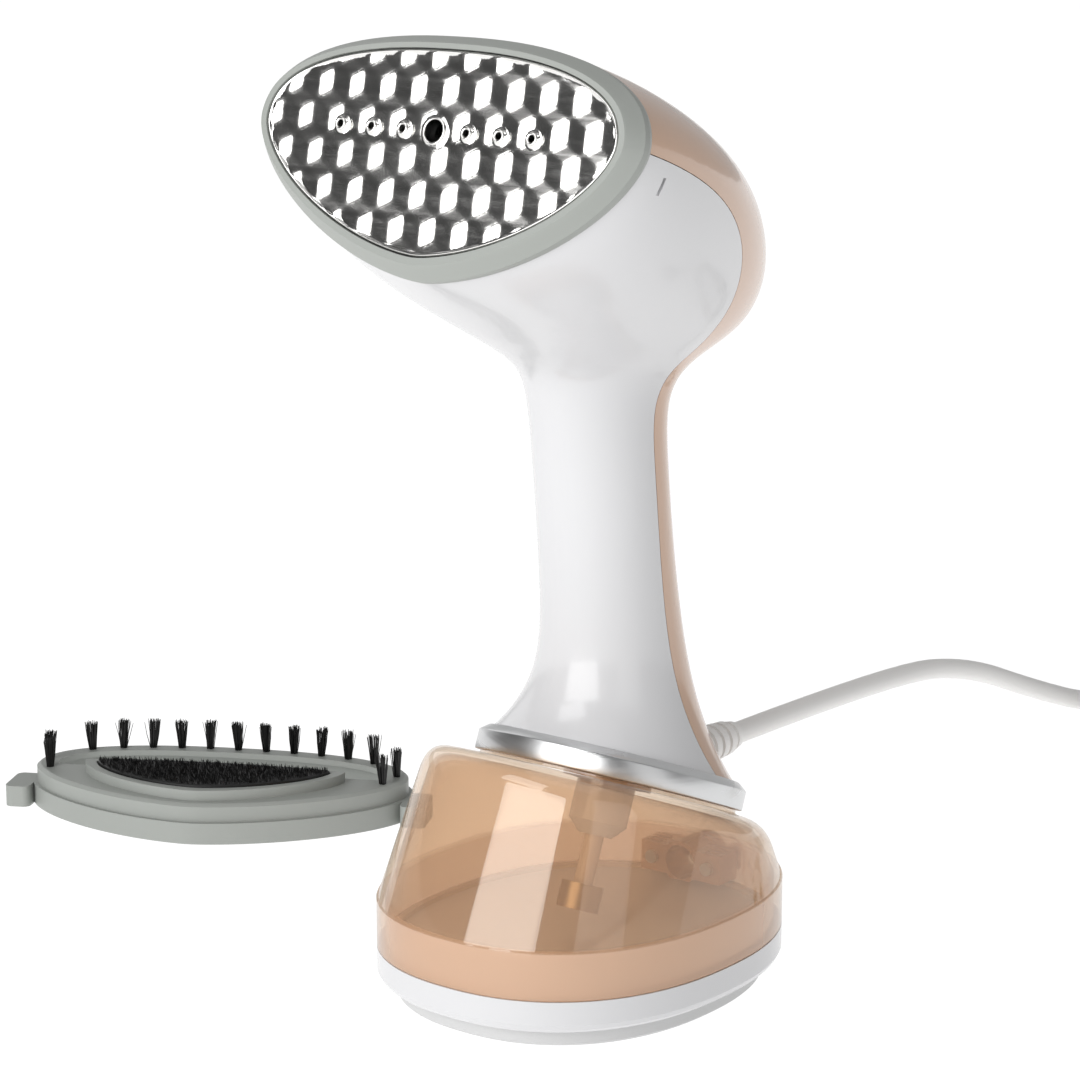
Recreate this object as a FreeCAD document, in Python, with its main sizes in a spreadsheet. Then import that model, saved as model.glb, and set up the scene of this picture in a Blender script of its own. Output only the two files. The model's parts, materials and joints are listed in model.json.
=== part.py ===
"""Hand-held garment steamer on its water tank, with its loose brush attachment.

Millimetres, +Z up. The steam plate faces -Y, X is left and right, and the origin is the middle of
the foot, on the surface that it stands on.
"""
import FreeCAD, Part
import math
import os

os.makedirs("parts", exist_ok=True)
doc = FreeCAD.newDocument("GarmentSteamer")
Vector = FreeCAD.Vector
Placement = FreeCAD.Placement
Rotation = FreeCAD.Rotation
X_AXIS = Vector(1, 0, 0)
Y_AXIS = Vector(0, 1, 0)
Z_AXIS = Vector(0, 0, 1)

# ---------------------------------------------------------------- driving dimensions
DIMENSIONS = {
    # foot, base cap and tank: half widths are along X, half depths along Y
    "foot_half_width": 49.4,
    "foot_half_depth": 58.7,
    "foot_height": 5.3,
    "foot_floor": 2.5,
    "pad_radius": 6.0,
    "pad_thickness": 1.5,
    "base_half_width": 55.0,
    "base_half_depth": 65.0,
    "base_top": 15.6,
    "base_wall": 2.4,
    "band_top": 30.5,
    "tank_wall": 2.0,
    "deck_half_width": 48.0,
    "deck_half_depth": 53.0,
    "shoulder_radius": 3.5,
    "plan_exponent": 2.27,
    "seal_width": 2.0,
    "seal_height": 1.5,
    # collar: the tilted joint between the tank and the handset
    "collar_tilt": 22.2,
    "collar_centre_y": 13.0,
    "collar_centre_z": 59.5,
    "deck_drop": 1.4,
    "seat_gap": 0.3,
    "trim_half_width": 42.3,
    "trim_half_depth": 40.2,
    "trim_height": 5.1,
    "collar_plate_thickness": 2.0,
    "spigot_radius": 5.0,
    "spigot_bore": 3.0,
    "spigot_depth": 10.0,
    "spigot_rise": 9.0,
    "valve_radius": 9.0,
    "valve_socket": 5.4,
    "valve_length": 17.0,
    "dip_radius": 3.0,
    "dip_bore": 1.8,
    "filter_radius": 6.5,
    "filter_length": 8.0,
    "filler_radius": 5.5,
    "filler_height": 23.2,
    "filler_gap": 0.3,
    # handset shells
    "shell_wall": 2.2,
    "seam_gap": 0.24,
    # steam head: the face frame stands on the row of nozzles
    "face_tilt": 15.84,
    "face_centre_y": -66.7,
    "face_centre_z": 262.3,
    "plate_half_width": 61.6,
    "plate_above": 22.5,
    "plate_below": 34.5,
    "plate_thickness": 1.2,
    "rim_side": 5.9,
    "rim_top": 4.5,
    "rim_bottom": 6.5,
    "rim_depth": 8.0,
    "nozzle_pitch": 11.25,
    "nozzle_radius": 1.85,
    "nozzle_bore": 1.0,
    "centre_nozzle_radius": 3.9,
    "centre_nozzle_bore": 3.1,
    "boiler_half_width": 52.0,
    "boiler_above": 17.0,
    "boiler_below": 27.0,
    "boiler_front": 4.0,
    "boiler_depth": 18.0,
    "element_radius": 3.0,
    "thermostat_radius": 8.0,
    "fuse_radius": 2.0,
    # handle contents
    "pump_radius": 10.0,
    "pump_bottom": 84.0,
    "pump_length": 36.0,
    "pump_nozzle": 2.5,
    "pump_centre_y": 18.0,
    "hose_radius": 3.2,
    "hose_bore": 2.0,
    "board_width": 26.0,
    "board_height": 52.0,
    "board_thickness": 1.6,
    "board_back_y": 16.2,
    "board_bottom": 137.0,
    "wire_radius": 1.1,
    # controls on the back of the handset
    "steam_button_width": 14.0,
    "steam_button_length": 26.0,
    "steam_button_height": 160.0,
    "steam_button_top": 31.2,
    "button_gap": 0.35,
    "button_flange": 1.4,
    "power_button_radius": 6.5,
    "power_button_height": 212.0,
    "power_button_top": 64.4,
    "lens_radius": 1.6,
    "slider_width": 6.4,
    "slider_length": 9.0,
    "slider_travel": 5.0,
    "latch_width": 20.0,
    "latch_height": 11.0,
    "spring_wire": 0.7,
    "spring_radius": 2.6,
    # mains lead
    "cord_radius": 3.5,
    "gland_radius": 7.0,
    "gland_height": 58.5,
    "gland_end": 79.0,
    "coil_outer_turn": 45.5,
    "coil_inner_turn": 38.5,
    "tie_thickness": 0.8,
    "tie_width": 12.0,
    "plug_half_width": 18.0,
    "plug_half_height": 8.5,
    "plug_length": 34.0,
    "pin_radius": 2.4,
    "pin_length": 19.0,
    "pin_spacing": 19.0,
    # brush attachment
    "brush_centre_x": -205.0,
    "brush_centre_y": 58.0,
    "brush_turn": 28.0,
    "brush_margin": 7.4,
    "brush_height": 14.0,
    "brush_wall": 2.0,
    "brush_border": 8.0,
    "platform_height": 3.5,
    "tuft_radius": 1.5,
    "tuft_tip_radius": 2.6,
    "tuft_length": 11.0,
    "lint_thickness": 1.5,
}
sheet = doc.addObject("Spreadsheet::Sheet", "Sizes")
for row, (word, number) in enumerate(DIMENSIONS.items(), start=1):
    sheet.set(f"A{row}", word)
    sheet.set(f"B{row}", str(number))
    sheet.setAlias(f"B{row}", word)
doc.recompute()


def size(word):
    """One driving dimension, read from the sheet."""
    return float(sheet.get(word))


NODES = {}


def keep(thing, node):
    """Name a finished sub-part and list it for export."""
    thing.Label = node
    NODES[node] = thing
    return thing


def feature(node, shape, frame=None):
    """A sub-part whose shape is made in its own frame and then placed."""
    thing = doc.addObject("Part::Feature", node)
    thing.Shape = shape
    if frame is not None:
        thing.Placement = frame
    return keep(thing, node)


def bind(thing, **sizes):
    """Tie properties of a document object to the sheet."""
    for name, formula in sizes.items():
        thing.setExpression(name, formula)
    return thing


def primitive(kind, name, frame, **sizes):
    """A Part primitive with its sizes bound to the sheet."""
    thing = doc.addObject("Part::" + kind, name)
    bind(thing, **sizes)
    thing.Placement = frame
    return thing


def cut(name, base, tool):
    thing = doc.addObject("Part::Cut", name)
    thing.Base = base
    thing.Tool = tool
    return thing


# ---------------------------------------------------------------- frames
def at(x, y, z, turn=None):
    return Placement(Vector(x, y, z), turn or Rotation())


COLLAR = at(0, size("collar_centre_y"), size("collar_centre_z"), Rotation(X_AXIS, -size("collar_tilt")))
FACE = at(0, size("face_centre_y"), size("face_centre_z"), Rotation(X_AXIS, 90 - size("face_tilt")))
BRUSH = at(size("brush_centre_x"), size("brush_centre_y"), 0, Rotation(Z_AXIS, size("brush_turn")))
ALONG_Y = Rotation(X_AXIS, -90)


def within(frame, x, y, z, turn=None):
    """A placement given in another frame."""
    return frame.multiply(at(x, y, z, turn))


# ---------------------------------------------------------------- curves and solids
OUTLINE_POINTS = 40


def power(value, exponent):
    return math.copysign(abs(value) ** exponent, value)


def closed_curve(points):
    curve = Part.BSplineCurve()
    curve.interpolate(Points=points, PeriodicFlag=True)
    return Part.Wire([curve.toShape()])


def plan_wire(half_width, half_depth, height, grow=0.0):
    """The rounded plan shape of the foot, base and tank, at one height."""
    points = []
    for step in range(OUTLINE_POINTS):
        angle = 2 * math.pi * step / OUTLINE_POINTS
        bend = 2 / size("plan_exponent")
        x = (half_width + grow) * power(math.cos(angle), bend)
        y = (half_depth + grow) * power(math.sin(angle), bend)
        points.append(Vector(x, y, height))
    return closed_curve(points)


UPPER_EXPONENT = 2.35
LOWER_EXPONENT = 1.6


def head_wire(half_width, above, below, height):
    """The rounded triangle of the steam head, in the face frame: flat top, pointed chin."""
    points = []
    for step in range(OUTLINE_POINTS):
        angle = 2 * math.pi * step / OUTLINE_POINTS
        lift = math.sin(angle)
        exponent = UPPER_EXPONENT if lift >= 0 else LOWER_EXPONENT
        x = half_width * power(math.cos(angle), 2 / exponent)
        y = (above if lift >= 0 else below) * power(lift, 2 / exponent)
        points.append(Vector(x, y, height))
    return closed_curve(points)


def rim_wire(share, height):
    """The head outline between the plate's edge (share 0) and the rim's widest line (share 1)."""
    half_width = size("plate_half_width") + share * size("rim_side")
    above = size("plate_above") + share * size("rim_top")
    below = size("plate_below") + share * size("rim_bottom")
    return head_wire(half_width, above, below, height)


def loft(wires, ruled=True):
    return Part.makeLoft(wires, True, ruled)


def prism(wire, height):
    return Part.Face(wire).extrude(Vector(0, 0, height))


def tube_path(points):
    """Straight runs joined by tangent arcs as large as their runs allow, and the arcs' radii."""
    edges = []
    radii = []
    here = points[0]
    for before, corner, after in zip(points, points[1:], points[2:]):
        inward = (corner - before).normalize()
        outward = (after - corner).normalize()
        turn = inward.getAngle(outward)
        shorter = min((corner - before).Length, (after - corner).Length)
        setback = 0.45 * shorter
        radius = setback / math.tan(turn / 2)
        start = corner - inward * setback
        end = corner + outward * setback
        towards_centre = (outward - inward).normalize()
        middle = corner + towards_centre * (radius / math.cos(turn / 2) - radius)
        edges.append(Part.LineSegment(here, start).toShape())
        edges.append(Part.Arc(start, middle, end).toShape())
        radii.append(radius)
        here = end
    edges.append(Part.LineSegment(here, points[-1]).toShape())
    return Part.Wire(edges), radii


def tube(points, radius, bore=0.0):
    """A round tube or rod along a route."""
    path, radii = tube_path(points)
    along = points[1] - points[0]
    outside = Part.Wire([Part.makeCircle(radius, points[0], along)])
    solid = path.makePipeShell([outside], True, False)
    if bore:
        inside = Part.Wire([Part.makeCircle(bore, points[0], along)])
        solid = solid.cut(path.makePipeShell([inside], True, False))
    return solid, path.Length, radii


def rounded_bar(width, length, thickness, corner):
    """A flat bar in its own frame, centred on X and Y, standing on Z = 0, with round corners."""
    x = width / 2 - corner
    y = length / 2 - corner
    edge = corner * math.sqrt(0.5)
    corners = [(x, y, 1, 1), (-x, y, -1, 1), (-x, -y, -1, -1), (x, -y, 1, -1)]
    edges = []
    ends = []
    for cx, cy, sx, sy in corners:
        on_side = Vector(cx + sx * corner, cy, 0)
        on_end = Vector(cx, cy + sy * corner, 0)
        first, last = (on_side, on_end) if sx * sy > 0 else (on_end, on_side)
        edges.append(Part.Arc(first, Vector(cx + sx * edge, cy + sy * edge, 0), last).toShape())
        ends.append((first, last))
    for this, following in zip(ends, ends[1:] + ends[:1]):
        if (this[1] - following[0]).Length > 0.001:
            edges.append(Part.LineSegment(this[1], following[0]).toShape())
    wire = Part.Wire(Part.__sortEdges__(edges))
    return Part.Face(wire).extrude(Vector(0, 0, thickness))


def coil_spring(radius, wire, length, turns):
    """A helical compression spring standing on Z = 0."""
    helix = Part.makeHelix((length - 2 * wire) / turns, length - 2 * wire, radius)
    helix.translate(Vector(0, 0, wire))
    section = Part.Wire([Part.makeCircle(wire / 2, Vector(radius, 0, wire), Y_AXIS)])
    return Part.Wire(helix.Edges).makePipeShell([section], True, True)


def revolve_profile(name, pairs):
    """A PartDesign revolution about its own Z axis; pairs are (radius, height) round the profile."""
    body = doc.addObject("PartDesign::Body", name)
    sketch = body.newObject("Sketcher::SketchObject", name + "Profile")
    plane = [item for item in body.Origin.OriginFeatures if item.Role == "XZ_Plane"][0]
    sketch.AttachmentSupport = [(plane, "")]
    sketch.MapMode = "FlatFace"
    corners = [Vector(radius, height, 0) for radius, height in pairs]
    for first, second in zip(corners, corners[1:] + corners[:1]):
        sketch.addGeometry(Part.LineSegment(first, second), False)
    turned = body.newObject("PartDesign::Revolution", name + "Turned")
    turned.Profile = sketch
    turned.ReferenceAxis = (sketch, ["V_Axis"])
    turned.Angle = 360
    return body


def padded_body(name, shapes, formula):
    """A PartDesign pad of closed line or circle profiles drawn on the body's XY plane."""
    body = doc.addObject("PartDesign::Body", name)
    sketch = body.newObject("Sketcher::SketchObject", name + "Profile")
    plane = [item for item in body.Origin.OriginFeatures if item.Role == "XY_Plane"][0]
    sketch.AttachmentSupport = [(plane, "")]
    sketch.MapMode = "FlatFace"
    for shape in shapes:
        sketch.addGeometry(shape, False)
    pad = body.newObject("PartDesign::Pad", name + "Pad")
    pad.Profile = sketch
    pad.setExpression("Length", formula)
    return body


def rectangle(width, height):
    """Four sketch lines round a rectangle centred on the origin."""
    corners = [
        Vector(-width / 2, -height / 2, 0),
        Vector(width / 2, -height / 2, 0),
        Vector(width / 2, height / 2, 0),
        Vector(-width / 2, height / 2, 0),
    ]
    return [Part.LineSegment(a, b) for a, b in zip(corners, corners[1:] + corners[:1])]


# ---------------------------------------------------------------- foot, base and tank
def make_foot():
    wide = size("foot_half_width")
    deep = size("foot_half_depth")
    top = size("foot_height")
    edge = 0.8
    wall = 3.0
    levels = [(0, -edge), (edge, 0.0), (top, 0.0)]
    outside = loft([plan_wire(wide, deep, height, grow) for height, grow in levels])
    recess = prism(plan_wire(wide, deep, size("foot_floor"), -wall), top)
    foot = outside.cut(recess)
    pads = []
    for x in (-30.0, 30.0):
        for y in (-36.0, 36.0):
            pocket = Part.makeCylinder(size("pad_radius"), size("pad_thickness"), Vector(x, y, 0))
            foot = foot.cut(pocket)
            pads.append(primitive("Cylinder", "Pad", at(x, y, 0),
                                  Radius="Sizes.pad_radius", Height="Sizes.pad_thickness"))
    feature("foot_ring", foot)
    group = doc.addObject("Part::Compound", "GripPads")
    group.Links = pads
    keep(group, "grip_pads")


def make_base():
    wide = size("base_half_width")
    deep = size("base_half_depth")
    bottom = size("foot_height")
    top = size("base_top")
    levels = [(bottom, -3.4), (bottom + 0.5, -2.1), (bottom + 1.6, -0.8), (bottom + 3.2, 0.0), (top, 0.0)]
    outside = loft([plan_wire(wide, deep, height, grow) for height, grow in levels])
    wall = size("base_wall") + 3.4
    inside = prism(plan_wire(wide, deep, bottom, -wall), top - size("base_wall") - bottom)
    feature("tank_base", outside.cut(inside))
    room = size("tank_wall") + 0.6
    outer = prism(plan_wire(wide, deep, top, -room), size("seal_height"))
    inner = prism(plan_wire(wide, deep, top, -room - size("seal_width")), size("seal_height"))
    feature("base_seal", outer.cut(inner))


def deck_wire(grow, drop):
    """The plan shape of the tilted deck, a drop below its surface."""
    centre_along = -4.8
    wire = plan_wire(size("deck_half_width"), size("deck_half_depth"), 0, grow)
    wire.Placement = within(COLLAR, 0, centre_along, -size("deck_drop") - drop)
    return wire


def tank_outside(inset):
    """The tank's band and dome, moved in by a wall."""
    wide = size("base_half_width")
    deep = size("base_half_depth")
    band = size("band_top")
    step = 0.5
    bottom = size("base_top") - (1.0 if inset else 0.0)
    lower = prism(plan_wire(wide, deep, bottom, -inset), band - bottom)
    if inset:
        lower = prism(plan_wire(wide, deep, bottom, -inset - step), band - bottom)
    shoulder = size("shoulder_radius")
    sections = [plan_wire(wide, deep, band, -inset - step)]
    sections.append(deck_wire(-inset + 0.4, shoulder + 0.4 * inset))
    dome = loft(sections)
    cap = loft([
        deck_wire(-inset + 0.4, shoulder + 0.4 * inset),
        deck_wire(-inset - 0.2, shoulder * 0.55 + 0.6 * inset),
        deck_wire(-inset - 1.1, shoulder * 0.22 + 0.8 * inset),
        deck_wire(-inset - 2.2, shoulder * 0.05 + 0.95 * inset),
        deck_wire(-inset - 3.5, inset),
    ])
    return lower.fuse([dome, cap])


def in_collar(shape):
    shape.Placement = COLLAR.multiply(shape.Placement)
    return shape


FILLER_PAD_Y = 65.6


def make_tank():
    wall = size("tank_wall")
    tank = tank_outside(0.0).cut(tank_outside(wall))
    land = Part.makeCylinder(1.0, size("deck_drop") - size("seat_gap") + 1.0)
    stretch = FreeCAD.Matrix()
    stretch.scale(40.5, 38.5, 1.0)
    land = land.transformGeometry(stretch)
    land.translate(Vector(0, 0, -size("deck_drop") - 1.0))
    tank = tank.fuse(in_collar(land))
    pad = rounded_bar(24.0, 13.4, 6.0, 5.0)
    pad.Placement = at(3.4, FILLER_PAD_Y - 6.0, size("filler_height"), ALONG_Y)
    tank = tank.fuse(pad).cut(tank_outside(wall))
    valve_hole = in_collar(Part.makeCylinder(size("valve_radius"), 10, Vector(0, 0, -8)))
    groove = in_collar(Part.makeCylinder(13.6, 2, Vector(0, 0, -size("seat_gap") - 0.9)))
    filler = Part.makeCylinder(size("filler_radius"), 12, Vector(0, 56, size("filler_height")), Y_AXIS)
    anchor = Part.makeCylinder(1.2, 5, Vector(11.4, FILLER_PAD_Y - 4.0, size("filler_height")), Y_AXIS)
    tank = tank.cut(valve_hole).cut(filler).cut(anchor)
    core = in_collar(Part.makeCylinder(11.4, 2, Vector(0, 0, -size("seat_gap") - 0.9)))
    tank = tank.cut(groove.cut(core))
    feature("water_tank", tank.removeSplitter())
    height = 0.9
    ring = Part.makeCylinder(13.6, height).cut(Part.makeCylinder(11.4, height))
    feature("neck_seal", ring, within(COLLAR, 0, 0, -size("seat_gap") - height))


def make_valve():
    """The tank valve hangs from the deck and carries the dip tube down to its filter."""
    radius = size("valve_radius")
    socket = size("valve_socket")
    top = -size("seat_gap")
    bottom = top - size("valve_length")
    neck = size("dip_radius")
    profile = [
        (socket, top), (radius, top), (radius, bottom + 4), (neck + 2.2, bottom), (neck, bottom),
        (neck, bottom + 2.4), (2.4, bottom + 2.4), (2.4, bottom + 5), (socket, bottom + 6),
    ]
    valve = revolve_profile("TankValve", profile)
    valve.Placement = COLLAR
    keep(valve, "tank_valve")
    ball_place = within(COLLAR, 0, 0, bottom + 7.0)
    ball = primitive("Sphere", "CheckBall", ball_place, Radius="Sizes.dip_radius - 0.3")
    keep(ball, "check_ball")
    filter_bottom = bottom - 23.0
    outer = primitive("Cylinder", "DipOuter", within(COLLAR, 0, 0, filter_bottom + 2.0),
                      Radius="Sizes.dip_radius", Height="23.4")
    inner = primitive("Cylinder", "DipBore", within(COLLAR, 0, 0, filter_bottom + 2.0),
                      Radius="Sizes.dip_bore", Height="23.4")
    keep(cut("DipTube", outer, inner), "dip_tube")
    cup = primitive("Cylinder", "FilterCup", within(COLLAR, 0, 0, filter_bottom),
                    Radius="Sizes.filter_radius", Height="Sizes.filter_length")
    hole = primitive("Cylinder", "FilterBore", within(COLLAR, 0, 0, filter_bottom + 2.0),
                     Radius="Sizes.dip_radius", Height="Sizes.filter_length")
    keep(cut("SuctionFilter", cup, hole), "suction_filter")


def make_filler():
    """A ribbed housing behind the rear wall, two screws, and a soft plug on a side strap."""
    level = size("filler_height")
    bore = size("filler_radius")
    front = 51.0
    back = 64.0
    block = Part.makeBox(30, back - front, 9.4, Vector(-15, front, level - 4.7))
    neck = Part.makeCylinder(bore + 1.4, back - front, Vector(0, front, level), Y_AXIS)
    above_seal = Part.makeBox(40, 40, 40, Vector(-20, 40, size("base_top") + size("seal_height") + 0.2))
    housing = block.fuse(neck).common(above_seal).common(tank_outside(size("tank_wall") + 0.1))
    for rib in range(3):
        slot = Part.makeBox(5.6, 1.1, 20, Vector(-14, front + 2.0 + 2.6 * rib, level - 10))
        housing = housing.cut(slot).cut(slot.translated(Vector(22.4, 0, 0)))
    housing = housing.cut(Part.makeCylinder(bore, 20, Vector(0, front - 2, level), Y_AXIS))
    screws = []
    for side in (-10.6, 10.6):
        housing = housing.cut(Part.makeCylinder(1.1, 4.0, Vector(side, front, level), Y_AXIS))
        shank = Part.makeCylinder(1.1, 4.0, Vector(side, front, level), Y_AXIS)
        head = Part.makeCylinder(2.1, 1.3, Vector(side, front - 1.3, level), Y_AXIS)
        screws.append(shank.fuse(head))
    feature("filler_housing", housing)
    feature("housing_screws", Part.makeCompound(screws))
    gap = size("filler_gap")
    face = FILLER_PAD_Y + gap
    cap = Part.makeCylinder(6.4, 1.8, Vector(0, face, level), Y_AXIS)
    stem = Part.makeCylinder(bore - gap - 0.2, 3.0, Vector(0, face - 3.0, level), Y_AXIS)
    strap = Part.makeBox(9.4, 1.0, 4.0, Vector(0, face, level - 2.0))
    knuckle = Part.makeCylinder(1.6, 4.0, Vector(9.4, face + 1.6, level - 2.0))
    tab = rounded_bar(5.0, 6.0, 1.8, 2.0)
    tab.Placement = at(-7.6, face, level, ALONG_Y)
    pin_hole = Part.makeCylinder(0.75, 10.0, Vector(9.4, face + 1.6, level - 5.0))
    feature("filler_plug", cap.fuse([stem, strap, knuckle, tab]).cut(pin_hole))
    pin = Part.makeCylinder(0.7, 7.0, Vector(9.4, face + 1.6, level - 3.5))
    for end in (-3.5, 2.3):
        lug = Part.makeBox(2.6, 2.6, 1.2, Vector(8.1, face + 0.3, level + end))
        pin = pin.fuse(lug)
        pin = pin.fuse(Part.makeBox(1.3, 1.2, 1.2, Vector(10.6, FILLER_PAD_Y, level + end)))
        pin = pin.fuse(Part.makeBox(0.6, 2.9, 1.2, Vector(10.6, FILLER_PAD_Y, level + end)))
    bridge = Part.makeBox(1.3, 1.2, 7.0, Vector(11.3, FILLER_PAD_Y, level - 3.5))
    stub = Part.makeCylinder(1.2, 3.5, Vector(11.4, FILLER_PAD_Y - 3.5, level), Y_AXIS)
    feature("plug_hinge_pin", pin.fuse([bridge, stub]))


# ---------------------------------------------------------------- handset shells
# Each row: top point (y, z), bottom point (y, z), half width, share of the way up at which the
# shell is widest, and the exponents of its lower and upper halves.
SECTIONS = [
    ((-51.6, 286.0), (-70.0, 221.0), 66.5, 0.60, 1.60, 2.30),
    ((-25.0, 278.5), (-57.0, 213.0), 64.2, 0.61, 2.00, 2.20),
    ((8.0, 264.5), (-45.0, 206.0), 59.0, 0.61, 2.20, 2.15),
    ((39.0, 244.0), (-37.0, 201.0), 51.0, 0.58, 2.20, 2.20),
    ((59.5, 219.5), (-30.5, 197.0), 41.0, 0.52, 2.15, 2.30),
    ((61.5, 200.5), (-24.0, 192.5), 31.0, 0.47, 2.05, 2.30),
    ((47.0, 191.5), (-18.0, 186.0), 24.0, 0.47, 2.00, 2.10),
    ((31.0, 181.5), (-14.0, 173.0), 20.5, 0.49, 2.00, 2.00),
    ((28.5, 160.0), (-10.5, 150.0), 20.2, 0.50, 2.00, 2.00),
    ((32.5, 130.0), (-8.4, 125.0), 20.3, 0.50, 2.00, 2.00),
    ((38.0, 99.0), (-8.0, 103.0), 22.0, 0.50, 2.00, 2.00),
    ((43.0, 73.0), (-12.0, 89.0), 28.5, 0.51, 2.00, 2.00),
    ((50.0, 50.0), (-21.0, 79.0), 40.5, 0.53, 2.00, 2.00),
]


HALF_POINTS = 20
STEPS_BETWEEN = 3


def smooth_rows():
    """The sections above and evenly spaced ones between them, on smooth curves along the handset."""
    stations = [float(index) for index in range(len(SECTIONS))]
    tops = [Vector(0, *row[0]) for row in SECTIONS]
    bottoms = [Vector(0, *row[1]) for row in SECTIONS]
    widths = [Vector(row[2], 100 * row[3], 10 * station) for row, station in zip(SECTIONS, stations)]
    exponents = [Vector(row[4], row[5], station) for row, station in zip(SECTIONS, stations)]
    guides = []
    for points in (tops, bottoms, widths, exponents):
        curve = Part.BSplineCurve()
        curve.interpolate(Points=points, Parameters=stations)
        guides.append(curve)
    rows = []
    for step in range(STEPS_BETWEEN * (len(SECTIONS) - 1) + 1):
        rows.append([guide.value(step / STEPS_BETWEEN) for guide in guides])
    return rows


def half_section(row, is_back):
    """A closed C-shaped section of one shell: its outside, its wall and its two seam edges."""
    high, low, widths, exponents = row
    half_width = widths.x
    along = (high - low).normalize()
    middle = low + (high - low) * (widths.y / 100)
    reach = (high - middle).Length if is_back else (middle - low).Length
    exponent = exponents.y if is_back else exponents.x
    sign = 1 if is_back else -1
    half_gap = size("seam_gap") / 2
    ends = []
    edges = []
    for inset in (0.0, size("shell_wall")):
        points = []
        for step in range(HALF_POINTS + 1):
            angle = math.pi * step / HALF_POINTS
            rise = power(math.sin(angle), 2 / exponent)
            point = middle + along * sign * (half_gap + (reach - inset - half_gap) * rise)
            point.x = (half_width - inset) * power(math.cos(angle), 2 / exponent)
            points.append(point)
        if inset:
            points.reverse()
        curve = Part.BSplineCurve()
        curve.interpolate(points)
        edges.append(curve.toShape())
        ends.append((points[0], points[-1]))
    edges.insert(1, Part.LineSegment(ends[0][1], ends[1][0]).toShape())
    edges.append(Part.LineSegment(ends[1][1], ends[0][0]).toShape())
    return Part.Wire(edges)


def shell_solid(is_back):
    return loft([half_section(row, is_back) for row in smooth_rows()], False)


LATCH = at(0, 41.6, 80.0, Rotation(X_AXIS, -79.1))
SLIDER = at(0, 32.1, 133.0, Rotation(X_AXIS, -82.4))


def make_shells():
    front = shell_solid(False)
    back = shell_solid(True)
    gap = size("button_gap")
    gland = Part.makeCylinder(size("gland_radius") + 0.2, 60, Vector(0, 20, size("gland_height")), Y_AXIS)
    steam_length = size("steam_button_length") + 2 * gap
    steam = rounded_bar(size("steam_button_width") + 2 * gap, steam_length, 20, 7.3)
    steam.Placement = at(0, 20, size("steam_button_height"), ALONG_Y)
    power_place = Vector(0, 50, size("power_button_height"))
    round_hole = Part.makeCylinder(size("power_button_radius") + gap, 20, power_place, Y_AXIS)
    slot_length = size("slider_length") + size("slider_travel") + 2 * gap
    slot = rounded_bar(size("slider_width") + 2 * gap, slot_length, 10, 3.2)
    slot.Placement = within(SLIDER, 0, size("slider_travel") / 2, -5)
    latch = rounded_bar(size("latch_width") + 2 * gap, size("latch_height") + 2 * gap, 12, 3.0)
    latch.Placement = within(LATCH, 0, 0, -6)
    back = back.cut(gland).cut(steam).cut(round_hole).cut(slot).cut(latch)
    for side in (-1, 1):
        notch = Part.makeBox(3.0, 15.0, 1.3, Vector(-1.5, -7.5, -0.65))
        notch.Placement = within(FACE, side * 64.6, -8.0, -19.0, Rotation(Z_AXIS, side * 18.0))
        front = front.cut(notch)
    feature("front_shell", largest(front))
    feature("back_shell", largest(back))


def largest(shape):
    """The main solid of a boolean result."""
    return max(shape.Solids, key=lambda solid: solid.Volume)


# ---------------------------------------------------------------- collar
def ellipse_solid(half_width, half_depth, height, bottom):
    stretch = FreeCAD.Matrix()
    stretch.scale(half_width, half_depth, 1.0)
    solid = Part.makeCylinder(1.0, height).transformGeometry(stretch)
    solid.translate(Vector(0, 0, bottom))
    return solid


def make_collar():
    """The bright ring round the collar, the plate that closes it, its spigot and its screws."""
    wide = size("trim_half_width")
    deep = size("trim_half_depth")
    tall = size("trim_height")
    levels = [(0.0, -0.5), (0.5, 0.0), (tall - 2.0, 0.0)]
    levels += [(tall - 1.2, -0.5), (tall - 0.5, -1.1), (tall, -1.7)]
    rings = []
    for height, grow in levels:
        curve = Part.Ellipse(Vector(0, 0, height), wide + grow, deep + grow)
        rings.append(Part.Wire([curve.toShape()]))
    ring = loft(rings).cut(ellipse_solid(wide - 3.6, deep - 3.6, 2 * tall, -tall / 2))
    feature("trim_ring", ring, COLLAR)
    plate = ellipse_solid(wide - 3.7, deep - 3.7, size("collar_plate_thickness"), 0)
    plate = plate.cut(Part.makeCylinder(size("spigot_radius"), 10, Vector(0, 0, -5)))
    screws = []
    for x, y in ((-30.0, -12.0), (30.0, -12.0), (-30.0, 12.0), (30.0, 12.0)):
        plate = plate.cut(Part.makeCylinder(1.3, 10, Vector(x, y, -5)))
        plate = plate.cut(Part.makeCylinder(2.6, 1.0, Vector(x, y, 0)))
        shank = Part.makeCylinder(1.3, 7.0, Vector(x, y, 1.0))
        head = Part.makeCylinder(2.6, 1.0, Vector(x, y, 0))
        screws.append(shank.fuse(head))
    feature("collar_plate", plate, COLLAR)
    feature("collar_screws", Part.makeCompound(screws), COLLAR)
    profile = [
        (size("spigot_bore"), -size("spigot_depth")), (size("spigot_radius"), -size("spigot_depth")),
        (size("spigot_radius"), 2.0), (7.0, 2.0), (7.0, 3.6), (4.0, 3.6), (4.0, size("spigot_rise")),
        (size("spigot_bore"), size("spigot_rise")),
    ]
    spigot = revolve_profile("InletSpigot", profile)
    spigot.Placement = COLLAR
    keep(spigot, "inlet_spigot")


# ---------------------------------------------------------------- steam head
SMALL_SCREWS = []


def small_screw():
    """A small pan-head screw that points along +Z with its head below Z = 0."""
    shank = Part.makeCylinder(1.1, 6.6)
    return shank.fuse(Part.makeCylinder(2.1, 1.4, Vector(0, 0, -1.4)))


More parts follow.
